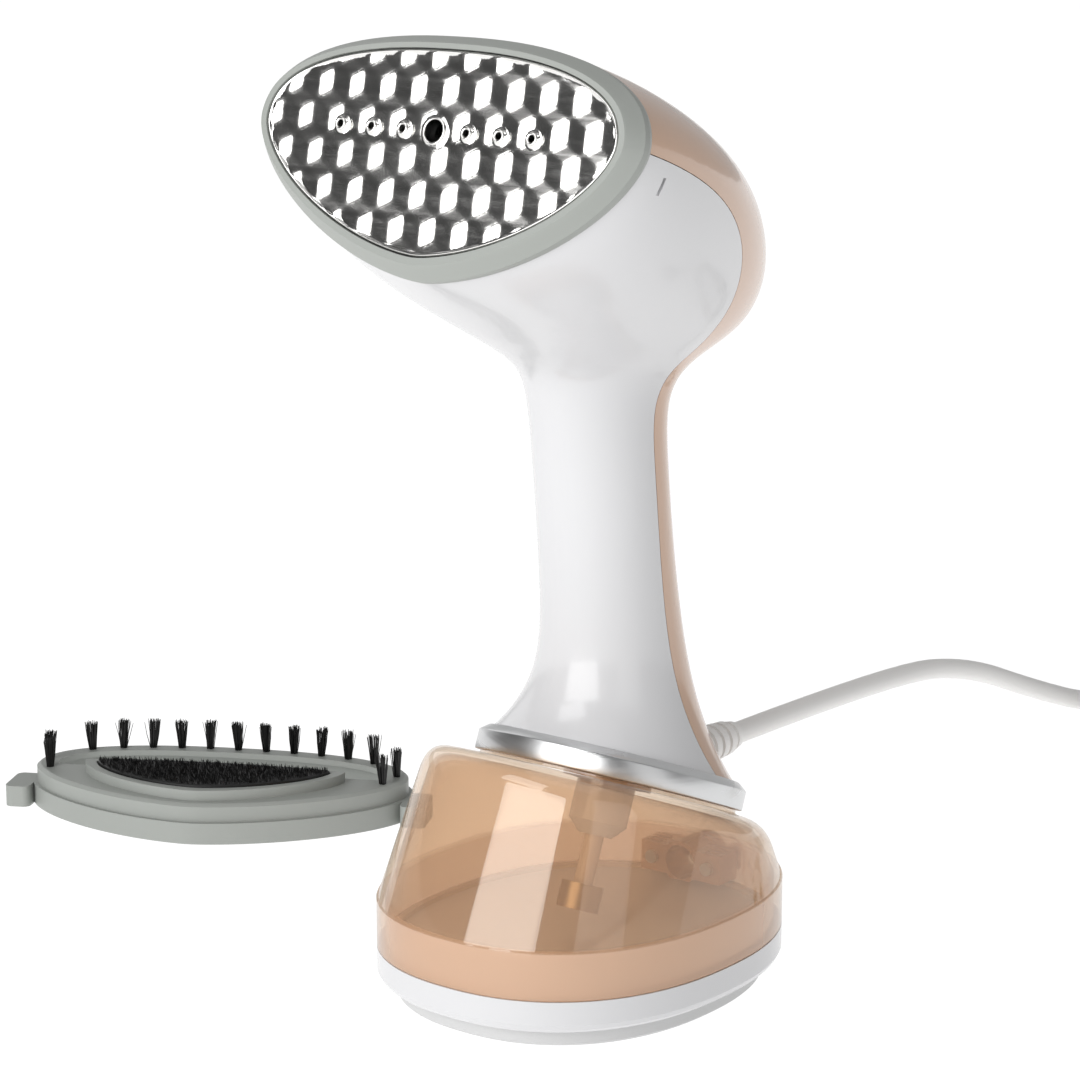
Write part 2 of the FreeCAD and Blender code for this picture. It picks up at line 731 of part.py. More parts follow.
def make_head():
    deep = size("rim_depth")
    levels = [(-deep, 0.92), (-6.6, 1.0), (-4.4, 1.0), (-1.3, 0.58), (-0.4, 0.45), (0.0, 0.38)]
    outside = loft([rim_wire(share, height) for height, share in levels])
    mouth = prism(rim_wire(0.06, -3.4), 10)
    ledge = prism(rim_wire(-0.3, -5.5), 10)
    clear = 1.0
    boiler_hole = head_wire(size("boiler_half_width") + clear, size("boiler_above") + clear,
                            size("boiler_below") + clear, -20)
    rim = outside.cut(mouth).cut(ledge).cut(prism(boiler_hole, 40))
    places = [(-57.5, 0.0), (57.5, 0.0), (-22.0, -27.6), (22.0, -27.6)]
    carrier = prism(head_wire(63.4, 24.0, 36.7, -deep - 2.2), 2.2).cut(prism(boiler_hole, 40))
    screws = []
    for x, y in places:
        hole = Part.makeCylinder(1.1, 6.6, Vector(x, y, -deep - 2.2))
        rim = rim.cut(hole)
        carrier = carrier.cut(hole)
        screw = small_screw()
        screw.Placement = within(FACE, x, y, -deep - 2.2)
        screws.append(screw)
    feature("head_rim", rim, FACE)
    feature("boiler_carrier", carrier, FACE)
    SMALL_SCREWS.extend(screws)
    seal = prism(rim_wire(0.05, -3.4), 3.4 - size("plate_thickness"))
    seal = seal.cut(prism(rim_wire(-0.28, -4), 6))
    feature("plate_gasket", seal, FACE)
    plate = prism(rim_wire(0.0, -size("plate_thickness")), size("plate_thickness"))
    nozzles = []
    for index in range(-3, 4):
        middle = index == 0
        radius = size("centre_nozzle_radius") if middle else size("nozzle_radius")
        bore = size("centre_nozzle_bore") if middle else size("nozzle_bore")
        x = index * size("nozzle_pitch")
        stem = (radius + bore) / 2
        plate = plate.cut(Part.makeCylinder(stem, 5, Vector(x, 0, -3)))
        collar = Part.makeTorus((radius + bore) / 2, (radius - bore) / 2, Vector(x, 0, 0.25))
        pipe = Part.makeCylinder(stem, size("boiler_front") + 0.25, Vector(x, 0, -size("boiler_front")))
        nozzle = pipe.fuse(collar.cut(Part.makeBox(20, 20, 5, Vector(x - 10, -10, -5))))
        nozzles.append(nozzle.cut(Part.makeCylinder(bore, 12, Vector(x, 0, -6))))
    feature("steam_plate", plate, FACE)
    feature("steam_nozzles", Part.makeCompound(nozzles), FACE)


def make_boiler():
    """The cast block behind the plate, its cover, its tubular element and its two safety devices."""
    front = -size("boiler_front")
    depth = size("boiler_depth")
    back = front - depth
    outline = head_wire(size("boiler_half_width"), size("boiler_above"), size("boiler_below"), back)
    block = prism(outline, depth)
    chamber = prism(head_wire(40.0, 8.0, 15.0, front - 6.0), 8.0)
    feature("boiler_block", block.cut(chamber), FACE)
    cover = prism(head_wire(30.0, 6.5, 11.0, back - 3.0), 3.0)
    feature("boiler_cover", cover, FACE)
    axis = back - size("element_radius") - 0.1
    corners = [(30.0, 12.6), (-30.0, 12.6), (-42.0, 0.0), (-24.0, -16.6), (24.0, -16.6), (41.0, -2.0)]
    element = tube([Vector(x, y, axis) for x, y in corners], size("element_radius"))[0]
    feature("heating_element", element, FACE)
    wide = size("thermostat_radius")
    disc = revolve_profile("Thermostat", [(0, 0), (wide, 0), (wide, 3.0), (6.0, 3.0), (6.0, 8.0), (0, 8.0)])
    disc.Placement = within(FACE, -12.0, -2.0, back - 3.0, Rotation(X_AXIS, 180))
    keep(disc, "thermostat")
    fuse_place = within(FACE, -3.0, -2.0, back - 3.1 - size("fuse_radius"), Rotation(Y_AXIS, 90))
    link = primitive("Cylinder", "ThermalFuse", fuse_place, Radius="Sizes.fuse_radius", Height="14")
    keep(link, "thermal_fuse")


# ---------------------------------------------------------------- handle contents
def make_pump():
    y = size("pump_centre_y")
    low = size("pump_bottom")
    tall = size("pump_length")
    radius = size("pump_radius")
    nozzle = size("pump_nozzle")
    pump = revolve_profile("WaterPump", [
        (0, -6), (nozzle, -6), (nozzle, 0), (radius, 0), (radius, 12), (radius - 1.2, 12.8),
        (radius - 1.2, tall), (nozzle, tall), (nozzle, tall + 6), (0, tall + 6),
    ])
    pump.Placement = at(0, y, low)
    keep(pump, "water_pump")
    block = primitive("Box", "BracketBlock", at(-11.5, y - 11.5, low + 20),
                      Length="23", Width="22.5", Height="8")
    bore = primitive("Cylinder", "BracketBore", at(0, y, low + 10),
                     Radius="Sizes.pump_radius - 1.2", Height="30")
    keep(cut("PumpBracket", block, bore), "pump_bracket")


def make_hoses():
    y = size("pump_centre_y")
    top = size("pump_bottom") + size("pump_length") + 1.0
    start = COLLAR.multVec(Vector(0, 0, 4.0))
    second = COLLAR.multVec(Vector(0, 0, 12.0))
    end = Vector(0, y, size("pump_bottom") - 0.5)
    inlet = [start, second, Vector(0, y + 0.4, 76.5), end]
    radius = size("hose_radius") + 1.2
    hose = tube(inlet, radius, 4.0)[0]
    feature("inlet_hose", hose)
    boiler_back = -size("boiler_front") - size("boiler_depth") - 3.0
    entry = FACE.multVec(Vector(16, -3, boiler_back))
    before = FACE.multVec(Vector(16, -3, boiler_back - 14))
    outlet = [
        Vector(0, y, top), Vector(0, y, 127.5), Vector(0, 8, 134), Vector(0, 3.5, 146),
        Vector(0, 3, 170), Vector(4, 2, 196), Vector(12, -8, 222), before, entry,
    ]
    hose = tube(outlet, size("hose_radius"), 2.5)[0]
    feature("outlet_hose", hose)


def make_electronics():
    """The control board, what is soldered to it, and the wires to the lead and the heater."""
    thick = size("board_thickness")
    back_y = size("board_back_y")
    low = size("board_bottom")
    outline = rectangle(size("board_width"), size("board_height"))
    board = padded_body("ControlBoard", outline, "Sizes.board_thickness")
    board.Placement = at(0, back_y - thick, low + size("board_height") / 2, ALONG_Y)
    keep(board, "control_board")
    front_y = back_y - thick
    relay = Part.makeBox(9, 7, 14, Vector(-12.5, front_y - 7, low + 8))
    capacitor = Part.makeCylinder(3.6, 6.5, Vector(9.0, front_y - 6.5, low + 14), Y_AXIS)
    plug = Part.makeBox(9, 4, 6, Vector(3.4, front_y - 4, low + 40))
    triac = Part.makeBox(7, 4, 9, Vector(-12, front_y - 4, low + 36))
    feature("board_components", Part.makeCompound([relay, capacitor, plug, triac]))
    switch = primitive("Box", "SteamSwitch", at(-6.4, back_y, 162), Length="12.8", Width="3.4", Height="6.5")
    keep(switch, "steam_switch")
    wires = []
    for index in (-1, 0, 1):
        route = [
            Vector(2.4 * index, 28.2, 60.5), Vector(5 + 2.4 * index, 27.2, 64.0),
            Vector(15.2, 18.0 + 3 * index, 76.0), Vector(15.4, 14.5 + 2.8 * index, 104.0),
            Vector(14.6, 12.5 + 2.6 * index, 124.0), Vector(9.6 + 1.0 * index, 15.4 + 2.6 * index, 132.0),
        ]
        wires.append(tube(route, size("wire_radius"))[0])
    feature("mains_wires", Part.makeCompound(wires))
    behind = -size("boiler_front") - size("boiler_depth") - 8.0
    leads = []
    for side in (-1, 1):
        route = [
            Vector(8.0 * side, 15.0, 190.5), Vector(10.0 * side, 12.0, 202.0),
            Vector(14.0 * side, -4.0, 220.0), FACE.multVec(Vector(26.0 * side, -4.0, behind - 10.0)),
            FACE.multVec(Vector(30.0 * side, -3.0, behind)),
        ]
        leads.append(tube(route, size("wire_radius"))[0])
    feature("heater_leads", Part.makeCompound(leads))


# ---------------------------------------------------------------- controls
def make_controls():
    gap = size("button_gap")
    flange = size("button_flange")
    inner_y = 22.1
    top = size("steam_button_top")
    key = rounded_bar(size("steam_button_width"), size("steam_button_length"), top - inner_y, 6.9)
    key = key.makeFillet(1.1, [edge for edge in key.Edges if edge.BoundBox.ZMin > top - inner_y - 0.01])
    lip = rounded_bar(size("steam_button_width") + 2.4, size("steam_button_length") + 2.4, flange, 8.0)
    feature("steam_button", key.fuse(lip), at(0, inner_y, size("steam_button_height"), ALONG_Y))
    wire = size("spring_wire")
    spring = coil_spring(size("spring_radius"), wire, inner_y - size("board_back_y"), 4)
    feature("steam_button_spring", spring, at(0, size("board_back_y"), 153.0, ALONG_Y))

    radius = size("power_button_radius")
    outer_y = size("power_button_top")
    flange_y = 55.0
    card_y = 45.4
    height = size("power_button_height")
    button = revolve_profile("PowerButton", [
        (size("lens_radius"), 0), (radius + 1.4, 0), (radius + 1.4, 1.4), (radius, 1.4),
        (radius, outer_y - flange_y - 0.8), (radius - 0.8, outer_y - flange_y),
        (size("lens_radius"), outer_y - flange_y),
    ])
    button.Placement = at(0, flange_y, height, ALONG_Y)
    keep(button, "power_button")
    lens = primitive("Cylinder", "IndicatorLens", at(0, flange_y + 4.0, height, ALONG_Y),
                     Radius="Sizes.lens_radius", Height="Sizes.power_button_top - 58.8")
    keep(lens, "indicator_lens")
    card = padded_body("DisplayBoard", rectangle(26.0, 22.0), "Sizes.board_thickness")
    card.Placement = at(0, card_y, height, ALONG_Y)
    keep(card, "display_board")
    sprung = coil_spring(size("spring_radius"), wire, flange_y - card_y - size("board_thickness"), 6)
    feature("power_button_spring", sprung, at(0, card_y + size("board_thickness"), height, ALONG_Y))

    slider = rounded_bar(size("slider_width"), size("slider_length"), 6.3, 3.0)
    for groove in (-2.2, 0.0, 2.2):
        slider = slider.cut(Part.makeBox(20, 0.8, 1, Vector(-10, groove - 0.4, 5.9)))
    base = rounded_bar(size("slider_width") + 3.4, size("slider_length") + 3.0, 1.2, 2.0)
    feature("lock_slider", slider.fuse(base), within(SLIDER, 0, 0, -4.9))

    base_level = -7.0
    spring_length = 5.0
    rise = 0.8 - base_level
    latch = rounded_bar(size("latch_width"), size("latch_height"), rise, 2.6)
    ridge = rounded_bar(size("latch_width") - 7, 1.2, 0.6, 0.55)
    for line in (-2.6, 0.0, 2.6):
        latch = latch.fuse(ridge.translated(Vector(0, line, rise)))
    base = rounded_bar(size("latch_width") + 2, size("latch_height") + 3, 1.4, 2.0)
    legs = []
    for side in (-1, 1):
        legs.append(Part.makeBox(3.0, 16.0, 1.4, Vector(side * 9.4 - 1.5, 4.0, 0)))
    feature("tank_latch", latch.fuse([base] + legs), within(LATCH, 0, 0, base_level))
    sprung = coil_spring(size("spring_radius"), wire, spring_length, 3)
    feature("latch_spring", sprung, within(LATCH, 0, 0, base_level - spring_length))
    post = rounded_bar(8.0, 8.0, 1.6, 1.0)
    feature("spring_seat", post, within(LATCH, 0, 0, base_level - spring_length - 1.6))


# ---------------------------------------------------------------- mains lead
CORD_ROUTE = [(0, 79, 58.5), (0, 177, 58.5), (1, 222, 51), (4, 262, 35), (8, 297, 22.5), (9, 325, 18.3)]
TAIL_ROUTE = [(100, 325, 4.3), (100.5, 298, 3.6), (101.5, 270, 4.4), (101, 243, 8.5)]
COIL_CENTRE = (54.5, 325.0)
PLUG_END_Y = 243.0


def make_lead():
    radius = size("cord_radius")
    solids = []
    for route in (CORD_ROUTE, TAIL_ROUTE):
        solid, length, radii = tube([Vector(*point) for point in route], radius)
        share = solid.Volume / (math.pi * radius ** 2 * length)
        print("cord run", round(length, 1), "volume share", round(share, 4))
        print("radii", [round(r) for r in radii])
        solids.append(solid)
    feature("power_cord", Part.makeCompound(solids))
    outer = size("coil_outer_turn") + radius
    inner = size("coil_inner_turn") - radius
    low = size("tie_thickness")
    tall = 6 * radius
    soft = 2.4
    coil = revolve_profile("CordCoil", [
        (inner + soft, low), (outer - soft, low), (outer, low + soft), (outer, low + tall - soft),
        (outer - soft, low + tall), (inner + soft, low + tall), (inner, low + tall - soft),
        (inner, low + soft),
    ])
    coil.Placement = at(*COIL_CENTRE, 0)
    keep(coil, "cord_coil")
    wide = size("tie_width")
    thick = size("tie_thickness")
    across = outer - inner + 2 * thick
    band = Part.makeBox(wide, across, tall + 2 * thick, Vector(-wide / 2, inner - thick, 0))
    core = Part.makeBox(2 * wide, outer - inner, tall, Vector(-wide, inner, thick))
    feature("cord_tie", band.cut(core), at(*COIL_CENTRE, 0))

    level = size("gland_height")
    neck = radius
    inside_y = 30.0
    reach = size("gland_end") - inside_y
    body_start = 12.2
    flange_radius = size("gland_radius") + 0.6
    profile = [(0, 0), (neck, 0), (neck, body_start - 2.0), (flange_radius, body_start - 2.0)]
    profile += [(flange_radius, body_start), (size("gland_radius"), body_start)]
    profile += [(size("gland_radius"), body_start + 11.0)]
    ribs = 5
    rib_start = body_start + 11.0
    rib_end = reach - 3.0
    pitch = (rib_end - rib_start) / ribs
    for rib in range(ribs):
        foot = rib_start + rib * pitch
        wide_radius = size("gland_radius") - 0.35 * rib
        profile += [(wide_radius, foot + 0.001), (wide_radius - 0.15, foot + pitch * 0.62)]
        profile += [(wide_radius - 1.3, foot + pitch * 0.66), (wide_radius - 1.3, foot + pitch * 0.98)]
    profile += [(radius + 1.4, rib_end + 0.2), (radius + 0.9, reach), (0, reach)]
    gland = revolve_profile("CordGland", profile)
    gland.Placement = at(0, inside_y, level, ALONG_Y)
    keep(gland, "cord_gland")
    clamp = Part.makeBox(15, 5, 8, Vector(-7.5, 31, level - 3.0))
    clamp = clamp.cut(Part.makeCylinder(neck, 20, Vector(0, 25, level), Y_AXIS))
    for side in (-5.4, 5.4):
        clamp = clamp.cut(Part.makeCylinder(1.1, 20, Vector(side, 33.5, level - 10)))
        screw = small_screw()
        screw.Placement = at(side, 33.5, level + 5.0, Rotation(X_AXIS, 180))
        SMALL_SCREWS.append(screw)
    feature("cord_clamp", clamp)


def make_plug():
    """A generic two-pin moulded plug that lies on its flat side."""
    half_width = size("plug_half_width")
    half_height = size("plug_half_height")
    length = size("plug_length")
    neck = 28.0
    levels = [(0, 4.6, 4.6), (neck * 0.5, 6.0, 5.4), (neck, 8.0, 6.6), (neck + 6, 13.5, 7.8)]
    levels += [(neck + 13, 17.0, half_height), (neck + 20, half_width, half_height)]
    levels += [(neck + length, half_width, half_height)]
    rings = []
    for distance, wide, tall in levels:
        centre = Vector(0, 0, distance)
        rings.append(Part.Wire([Part.Ellipse(centre, wide, tall).toShape()]))
    frame = at(101, PLUG_END_Y, half_height, Rotation(X_AXIS, 90))
    feature("mains_plug", loft(rings), frame)
    pins = []
    for side in (-1, 1):
        place = within(frame, side * size("pin_spacing") / 2, 0, neck + length)
        pins.append(primitive("Cylinder", "Pin", place, Radius="Sizes.pin_radius", Height="Sizes.pin_length"))
    group = doc.addObject("Part::Compound", "PlugPins")
    group.Links = pins
    keep(group, "plug_pins")


# ---------------------------------------------------------------- brush attachment
def brush_wire(inset, height):
    grow = size("brush_margin") - inset
    below = size("plate_below") + grow + 1.5
    return head_wire(size("plate_half_width") + grow, size("plate_above") + grow, below, height)


def boat_prism(half_width, rise, below, top_edge, height, thickness):
    """A lens shape: a shallow arc along the top edge and the head's pointed curve below it."""
    points = []
    for step in range(OUTLINE_POINTS // 2 + 1):
        angle = 2 * math.pi * step / OUTLINE_POINTS
        x = half_width * power(math.cos(angle), 2 / LOWER_EXPONENT)
        y = top_edge - below * power(math.sin(angle), 2 / LOWER_EXPONENT)
        points.append(Vector(x, y, height))
    chin = Part.BSplineCurve()
    chin.interpolate(points)
    crown = Part.Arc(points[-1], Vector(0, top_edge + rise, height), points[0])
    wire = Part.Wire([chin.toShape(), crown.toShape()])
    return prism(wire, thickness)


def make_brush():
    tall = size("brush_height")
    wall = size("brush_wall")
    step = 1.6
    lower = prism(brush_wire(0.0, 0), 7.5)
    levels = [(7.5, 0.0), (tall - 1.2, 0.0), (tall - 0.3, 1.0), (tall, 1.8)]
    upper = loft([brush_wire(step + inset, height) for height, inset in levels])
    body = lower.fuse(upper)
    hollow = prism(brush_wire(wall + step, -1), tall - wall + 1)
    body = body.cut(hollow)
    window = prism(brush_wire(size("brush_border") + step, -1), 40)
    window = window.common(Part.makeBox(200, 100, 60, Vector(-100, -3.5, -10)))
    body = body.cut(window)
    platform = boat_prism(47.0, 3.2, 30.5, -7.4, tall - wall, wall + size("platform_height"))
    pad_floor = tall + size("platform_height") - 0.8
    pocket = boat_prism(42.6, 2.4, 25.6, -8.8, pad_floor, 5)
    body = body.fuse(platform).cut(pocket)
    for side in (-1, 1):
        ear = rounded_bar(9.0, 17.0, 7.5, 2.6)
        ear.Placement = at(side * (size("plate_half_width") + size("brush_margin") + 2.6), -4.0, 0.0)
        ear = ear.cut(prism(brush_wire(wall + step, -1), 20))
        body = body.fuse(ear)
    feature("brush_frame", body.removeSplitter(), BRUSH)
    pad = boat_prism(42.0, 2.2, 25.0, -9.0, pad_floor, size("lint_thickness") + 0.8)
    feature("lint_pad", pad, BRUSH)
    tufts = []
    for x, y in tuft_places():
        root = Vector(x, y, tall)
        tufts.append(Part.makeCone(size("tuft_radius"), size("tuft_tip_radius"), size("tuft_length"), root))
    feature("bristle_tufts", Part.makeCompound(tufts), BRUSH)


def tuft_places():
    """Fifteen tufts along the middle of the ring, eleven over the top and two at each side."""
    inset = 1.6 + size("brush_border") / 2
    grow = size("brush_margin") - inset
    wide = size("plate_half_width") + grow
    above = size("plate_above") + grow
    below = size("plate_below") + grow + 1.5
    places = []
    for x in range(-5, 6):
        across = x * 10.4
        fall = (1 - (abs(across) / wide) ** UPPER_EXPONENT) ** (1 / UPPER_EXPONENT)
        places.append((across, above * fall))
    for side in (-1, 1):
        for drop in (2.0, -7.5):
            exponent = UPPER_EXPONENT if drop > 0 else LOWER_EXPONENT
            reach = above if drop > 0 else below
            across = wide * (1 - (abs(drop) / reach) ** exponent) ** (1 / exponent)
            places.append((side * across, drop))
    return places


make_foot()
make_base()
make_tank()
make_valve()
make_filler()
make_shells()
make_collar()
make_head()
make_boiler()
make_pump()
make_hoses()
make_electronics()
make_controls()
make_lead()
make_plug()
make_brush()
feature("small_screws", Part.makeCompound(SMALL_SCREWS))

# ---------------------------------------------------------------- checks and export
doc.recompute()
for thing in doc.Objects:
    if "Invalid" in thing.State or "Error" in thing.State:
        raise RuntimeError(f"{thing.Name} did not rebuild: {thing.State}")
for node, thing in NODES.items():
    shape = thing.Shape
    if shape.isNull() or not shape.isValid():
        raise RuntimeError(f"{node} has no valid shape")
    shape.exportStep(f"parts/{node}.step")
    print(f"{node}: {len(shape.Solids)} solids, {shape.Volume:.0f} mm3")
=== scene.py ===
"""Looks for the garment steamer: materials, embossed plate, brush, springs, tank, ring and lead.

Metres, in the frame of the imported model: the steam plate faces -Y, +Z is up, and the origin is the
middle of the foot on the table. Sizes below are in millimetres and are scaled as points are made.
"""
import json
import math
import random

import bmesh
import bpy
from mathutils import Matrix, Vector
from mathutils.geometry import delaunay_2d_cdt


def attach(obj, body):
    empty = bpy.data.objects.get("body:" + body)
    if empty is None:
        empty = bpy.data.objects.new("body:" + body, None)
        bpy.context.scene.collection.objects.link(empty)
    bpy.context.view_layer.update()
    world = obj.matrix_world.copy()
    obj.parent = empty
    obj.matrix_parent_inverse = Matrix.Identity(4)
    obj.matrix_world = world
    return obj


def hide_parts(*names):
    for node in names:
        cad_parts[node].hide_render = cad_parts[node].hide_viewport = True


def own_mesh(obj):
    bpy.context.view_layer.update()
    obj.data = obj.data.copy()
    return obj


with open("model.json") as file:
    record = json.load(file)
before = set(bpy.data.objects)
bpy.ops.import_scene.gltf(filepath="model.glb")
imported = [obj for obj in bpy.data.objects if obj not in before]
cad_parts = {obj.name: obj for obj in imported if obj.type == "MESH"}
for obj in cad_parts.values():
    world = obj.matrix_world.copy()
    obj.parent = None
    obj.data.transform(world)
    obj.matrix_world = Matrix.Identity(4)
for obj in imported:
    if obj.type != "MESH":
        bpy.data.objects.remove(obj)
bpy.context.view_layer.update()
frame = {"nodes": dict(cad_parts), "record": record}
nodes = frame["nodes"]
MM = 0.001

# local frames of the design: the steam face and the loose brush
FACE = Matrix.Translation((0, -66.7, 262.3)) @ Matrix.Rotation(math.radians(74.16), 4, "X")
BRUSH = Matrix.Translation((-205.0, 58.0, 0)) @ Matrix.Rotation(math.radians(28.0), 4, "Z")
COLLAR_TILT = math.radians(-22.2)


def ease(share):
    """A share from 0 to 1 that starts and ends gently."""
    return share * share * (3 - 2 * share)


def join_rings(build, rings):
    """Quads between each closed ring of points and the next."""
    for lower, upper in zip(rings, rings[1:]):
        for index in range(len(lower)):
            following = (index + 1) % len(lower)
            build.faces.new((lower[index], lower[following], upper[following], upper[index]))


def made(name, mesh, body, material, replaced=()):
    """Link a finished mesh as a piece that rides on a body and stands for CAD nodes."""
    piece = bpy.data.objects.new(name, mesh)
    bpy.context.scene.collection.objects.link(piece)
    mesh.materials.append(material)
    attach(piece, body)
    if replaced:
        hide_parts(*replaced)
    return piece


# ---------------------------------------------------------------- materials
def link(tree, source, output, target, socket):
    """Connect a node's output to another node's input."""
    tree.links.new(source.outputs[output], target.inputs[socket])


def plain_tree(name):
    """A new material with its Principled shader and object coordinates."""
    material = bpy.data.materials.new(name)
    material.use_nodes = True
    tree = material.node_tree
    coordinates = tree.nodes.new("ShaderNodeTexCoord")
    mapping = tree.nodes.new("ShaderNodeMapping")
    link(tree, coordinates, "Object", mapping, "Vector")
    return material, tree, tree.nodes["Principled BSDF"], mapping


def add_noise(tree, mapping, scale, detail=2.0):
    """A noise texture on the object's own coordinates."""
    noise = tree.nodes.new("ShaderNodeTexNoise")
    noise.inputs["Scale"].default_value = scale
    noise.inputs["Detail"].default_value = detail
    link(tree, mapping, "Vector", noise, "Vector")
    return noise


def add_range(tree, low, high):
    """Map the middle of a noise's range to two values."""
    spread = tree.nodes.new("ShaderNodeMapRange")
    spread.inputs["From Min"].default_value = 0.3
    spread.inputs["From Max"].default_value = 0.7
    spread.inputs["To Min"].default_value = low
    spread.inputs["To Max"].default_value = high
    return spread


def shade(colour, factor):
    """A colour made lighter or darker, with alpha 1."""
    return (colour[0] * factor, colour[1] * factor, colour[2] * factor, 1)


def make_material(name, colour, roughness, metallic=0.0, coat=0.0, mottle=0.03, mottle_scale=30.0,
                  spread=0.03, grain=0.05, grain_scale=1500.0, stretch=(1, 1, 1), turn=0.0):
    """A surface with faint colour drift, uneven gloss and a fine grain."""
    material, tree, shader, mapping = plain_tree(name)
    mapping.inputs["Scale"].default_value = stretch
    mapping.inputs["Rotation"].default_value = (turn, 0, 0)
    drift = add_noise(tree, mapping, mottle_scale)
    blend = tree.nodes.new("ShaderNodeMix")
    blend.data_type = "RGBA"
    blend.inputs["A"].default_value = shade(colour, 1 - mottle)
    blend.inputs["B"].default_value = shade(colour, 1 + mottle)
    link(tree, drift, "Fac", blend, "Factor")
    tree.links.new(blend.outputs["Result"], shader.inputs["Base Color"])
    gloss = add_range(tree, max(0.02, roughness - spread), roughness + spread)
    link(tree, drift, "Fac", gloss, "Value")
    link(tree, gloss, "Result", shader, "Roughness")
    fine = add_noise(tree, mapping, grain_scale, 3.0)
    bump = tree.nodes.new("ShaderNodeBump")
    bump.inputs["Strength"].default_value = grain
    bump.inputs["Distance"].default_value = 0.0002
    link(tree, fine, "Fac", bump, "Height")
    link(tree, bump, "Normal", shader, "Normal")
    shader.inputs["Metallic"].default_value = metallic
    shader.inputs["Coat Weight"].default_value = coat
    shader.inputs["Coat Roughness"].default_value = 0.03
    return material


PEACH = (0.56, 0.365, 0.255)
# where the tank's dense band ends, in metres above the table
BAND_TOP = 0.0302
BAND_BLUR = 0.0005


def make_tank_clear(name, haze, band_haze):
    """Tinted clear plastic: what is behind shows through, and its band above the base is denser."""
    material, tree, shader, mapping = plain_tree(name)
    shader.inputs["Base Color"].default_value = (0.80, 0.53, 0.36, 1)
    shader.inputs["Roughness"].default_value = 0.09
    clear = tree.nodes.new("ShaderNodeBsdfTransparent")
    clear.inputs["Color"].default_value = (0.975, 0.89, 0.79, 1)
    place = tree.nodes.new("ShaderNodeSeparateXYZ")
    link(tree, mapping, "Vector", place, "Vector")
    level = tree.nodes.new("ShaderNodeMapRange")
    level.inputs["From Min"].default_value = BAND_TOP - BAND_BLUR
    level.inputs["From Max"].default_value = BAND_TOP + BAND_BLUR
    level.inputs["To Min"].default_value = band_haze
    level.inputs["To Max"].default_value = haze
    link(tree, place, "Z", level, "Value")
    body = tree.nodes.new("ShaderNodeMixShader")
    link(tree, level, "Result", body, "Fac")
    link(tree, clear, "BSDF", body, 1)
    link(tree, shader, "BSDF", body, 2)
    shine = tree.nodes.new("ShaderNodeBsdfGlossy")
    shine.inputs["Roughness"].default_value = 0.02
    facing = tree.nodes.new("ShaderNodeLayerWeight")
    steep = tree.nodes.new("ShaderNodeMath")
    steep.operation = "POWER"
    steep.inputs[1].default_value = 4.0
    link(tree, facing, "Facing", steep, 0)
    mirror = tree.nodes.new("ShaderNodeMapRange")
    mirror.inputs["To Min"].default_value = 0.06
    mirror.inputs["To Max"].default_value = 0.75
    link(tree, steep, "Value", mirror, "Value")
    top = tree.nodes.new("ShaderNodeMixShader")
    link(tree, mirror, "Result", top, "Fac")
    link(tree, body, "Shader", top, 1)
    link(tree, shine, "BSDF", top, 2)
    link(tree, top, "Shader", tree.nodes["Material Output"], "Surface")
    return material


MATERIALS = {
    "white_gloss": make_material("white_gloss_look", (0.63, 0.63, 0.641), 0.22, coat=0.25, mottle=0.006,
                                 spread=0.02, grain=0.012, grain_scale=500),
    "peach_gloss": make_material("peach_gloss_look", PEACH, 0.2, coat=0.5, mottle=0.015, spread=0.03,
                                 grain=0.012, grain_scale=500),
    "peach_clear": make_tank_clear("peach_clear_look", 0.19, 0.48),
    "grey_matte": make_material("grey_matte_look", (0.31, 0.325, 0.305), 0.42, mottle=0.02, spread=0.04,
                                grain=0.12, grain_scale=2600),
    "foot_grey": make_material("foot_grey_look", (0.56, 0.56, 0.56), 0.4, mottle=0.01, grain=0.08,
                               grain_scale=2600),
    "dark_rubber": make_material("dark_rubber_look", (0.02, 0.02, 0.02), 0.7, grain=0.2),
    "clear_silicone": make_material("silicone_look", (0.62, 0.52, 0.42), 0.35, grain=0.08),
    # pressed bright steel with fine straight brushing along X
    "mirror_steel": make_material(
        "plate_steel_look", (0.88, 0.87, 0.85), 0.16, metallic=1.0, mottle=0.06, mottle_scale=400.0,
        spread=0.05, grain=0.17, grain_scale=1100.0, stretch=(0.05, 1, 1)),
    # brushed round the collar's tilted axis
    "brushed_silver": make_material(
        "brushed_silver_look", (0.66, 0.665, 0.67), 0.30, metallic=1.0, mottle=0.06, mottle_scale=500,
        spread=0.05, grain=0.16, grain_scale=1400, stretch=(0.05, 0.05, 1), turn=-COLLAR_TILT),
    "cast_aluminium": make_material("cast_aluminium_look", (0.10, 0.10, 0.10), 0.5, metallic=0.9, grain=0.3),
    "steel": make_material("zinc_steel_look", (0.6, 0.6, 0.6), 0.3, metallic=1.0),
    "brass": make_material("brass_look", (0.42, 0.33, 0.22), 0.4, metallic=1.0),
    "board_green": make_material("board_look", (0.02, 0.12, 0.06), 0.4),
    "black_plastic": make_material("black_plastic_look", (0.02, 0.02, 0.02), 0.45, grain=0.15),
    "black_fibre": make_material("black_fibre_look", (0.006, 0.006, 0.006), 0.42, mottle=0.4,
                                 mottle_scale=900, grain=0.0),
    "lens": make_material("lens_look", (0.1, 0.25, 0.5), 0.1, coat=1.0),
    "cord_white": make_material("cord_white_look", (0.86, 0.85, 0.835), 0.36, mottle=0.015, grain=0.08),
}


def dress_nodes():
    """Give every CAD node its finished material."""
    for row in frame["record"]["subparts"]:
        for slot in nodes[row["node"]].material_slots:
            slot.material = MATERIALS[row["material_slot"]]


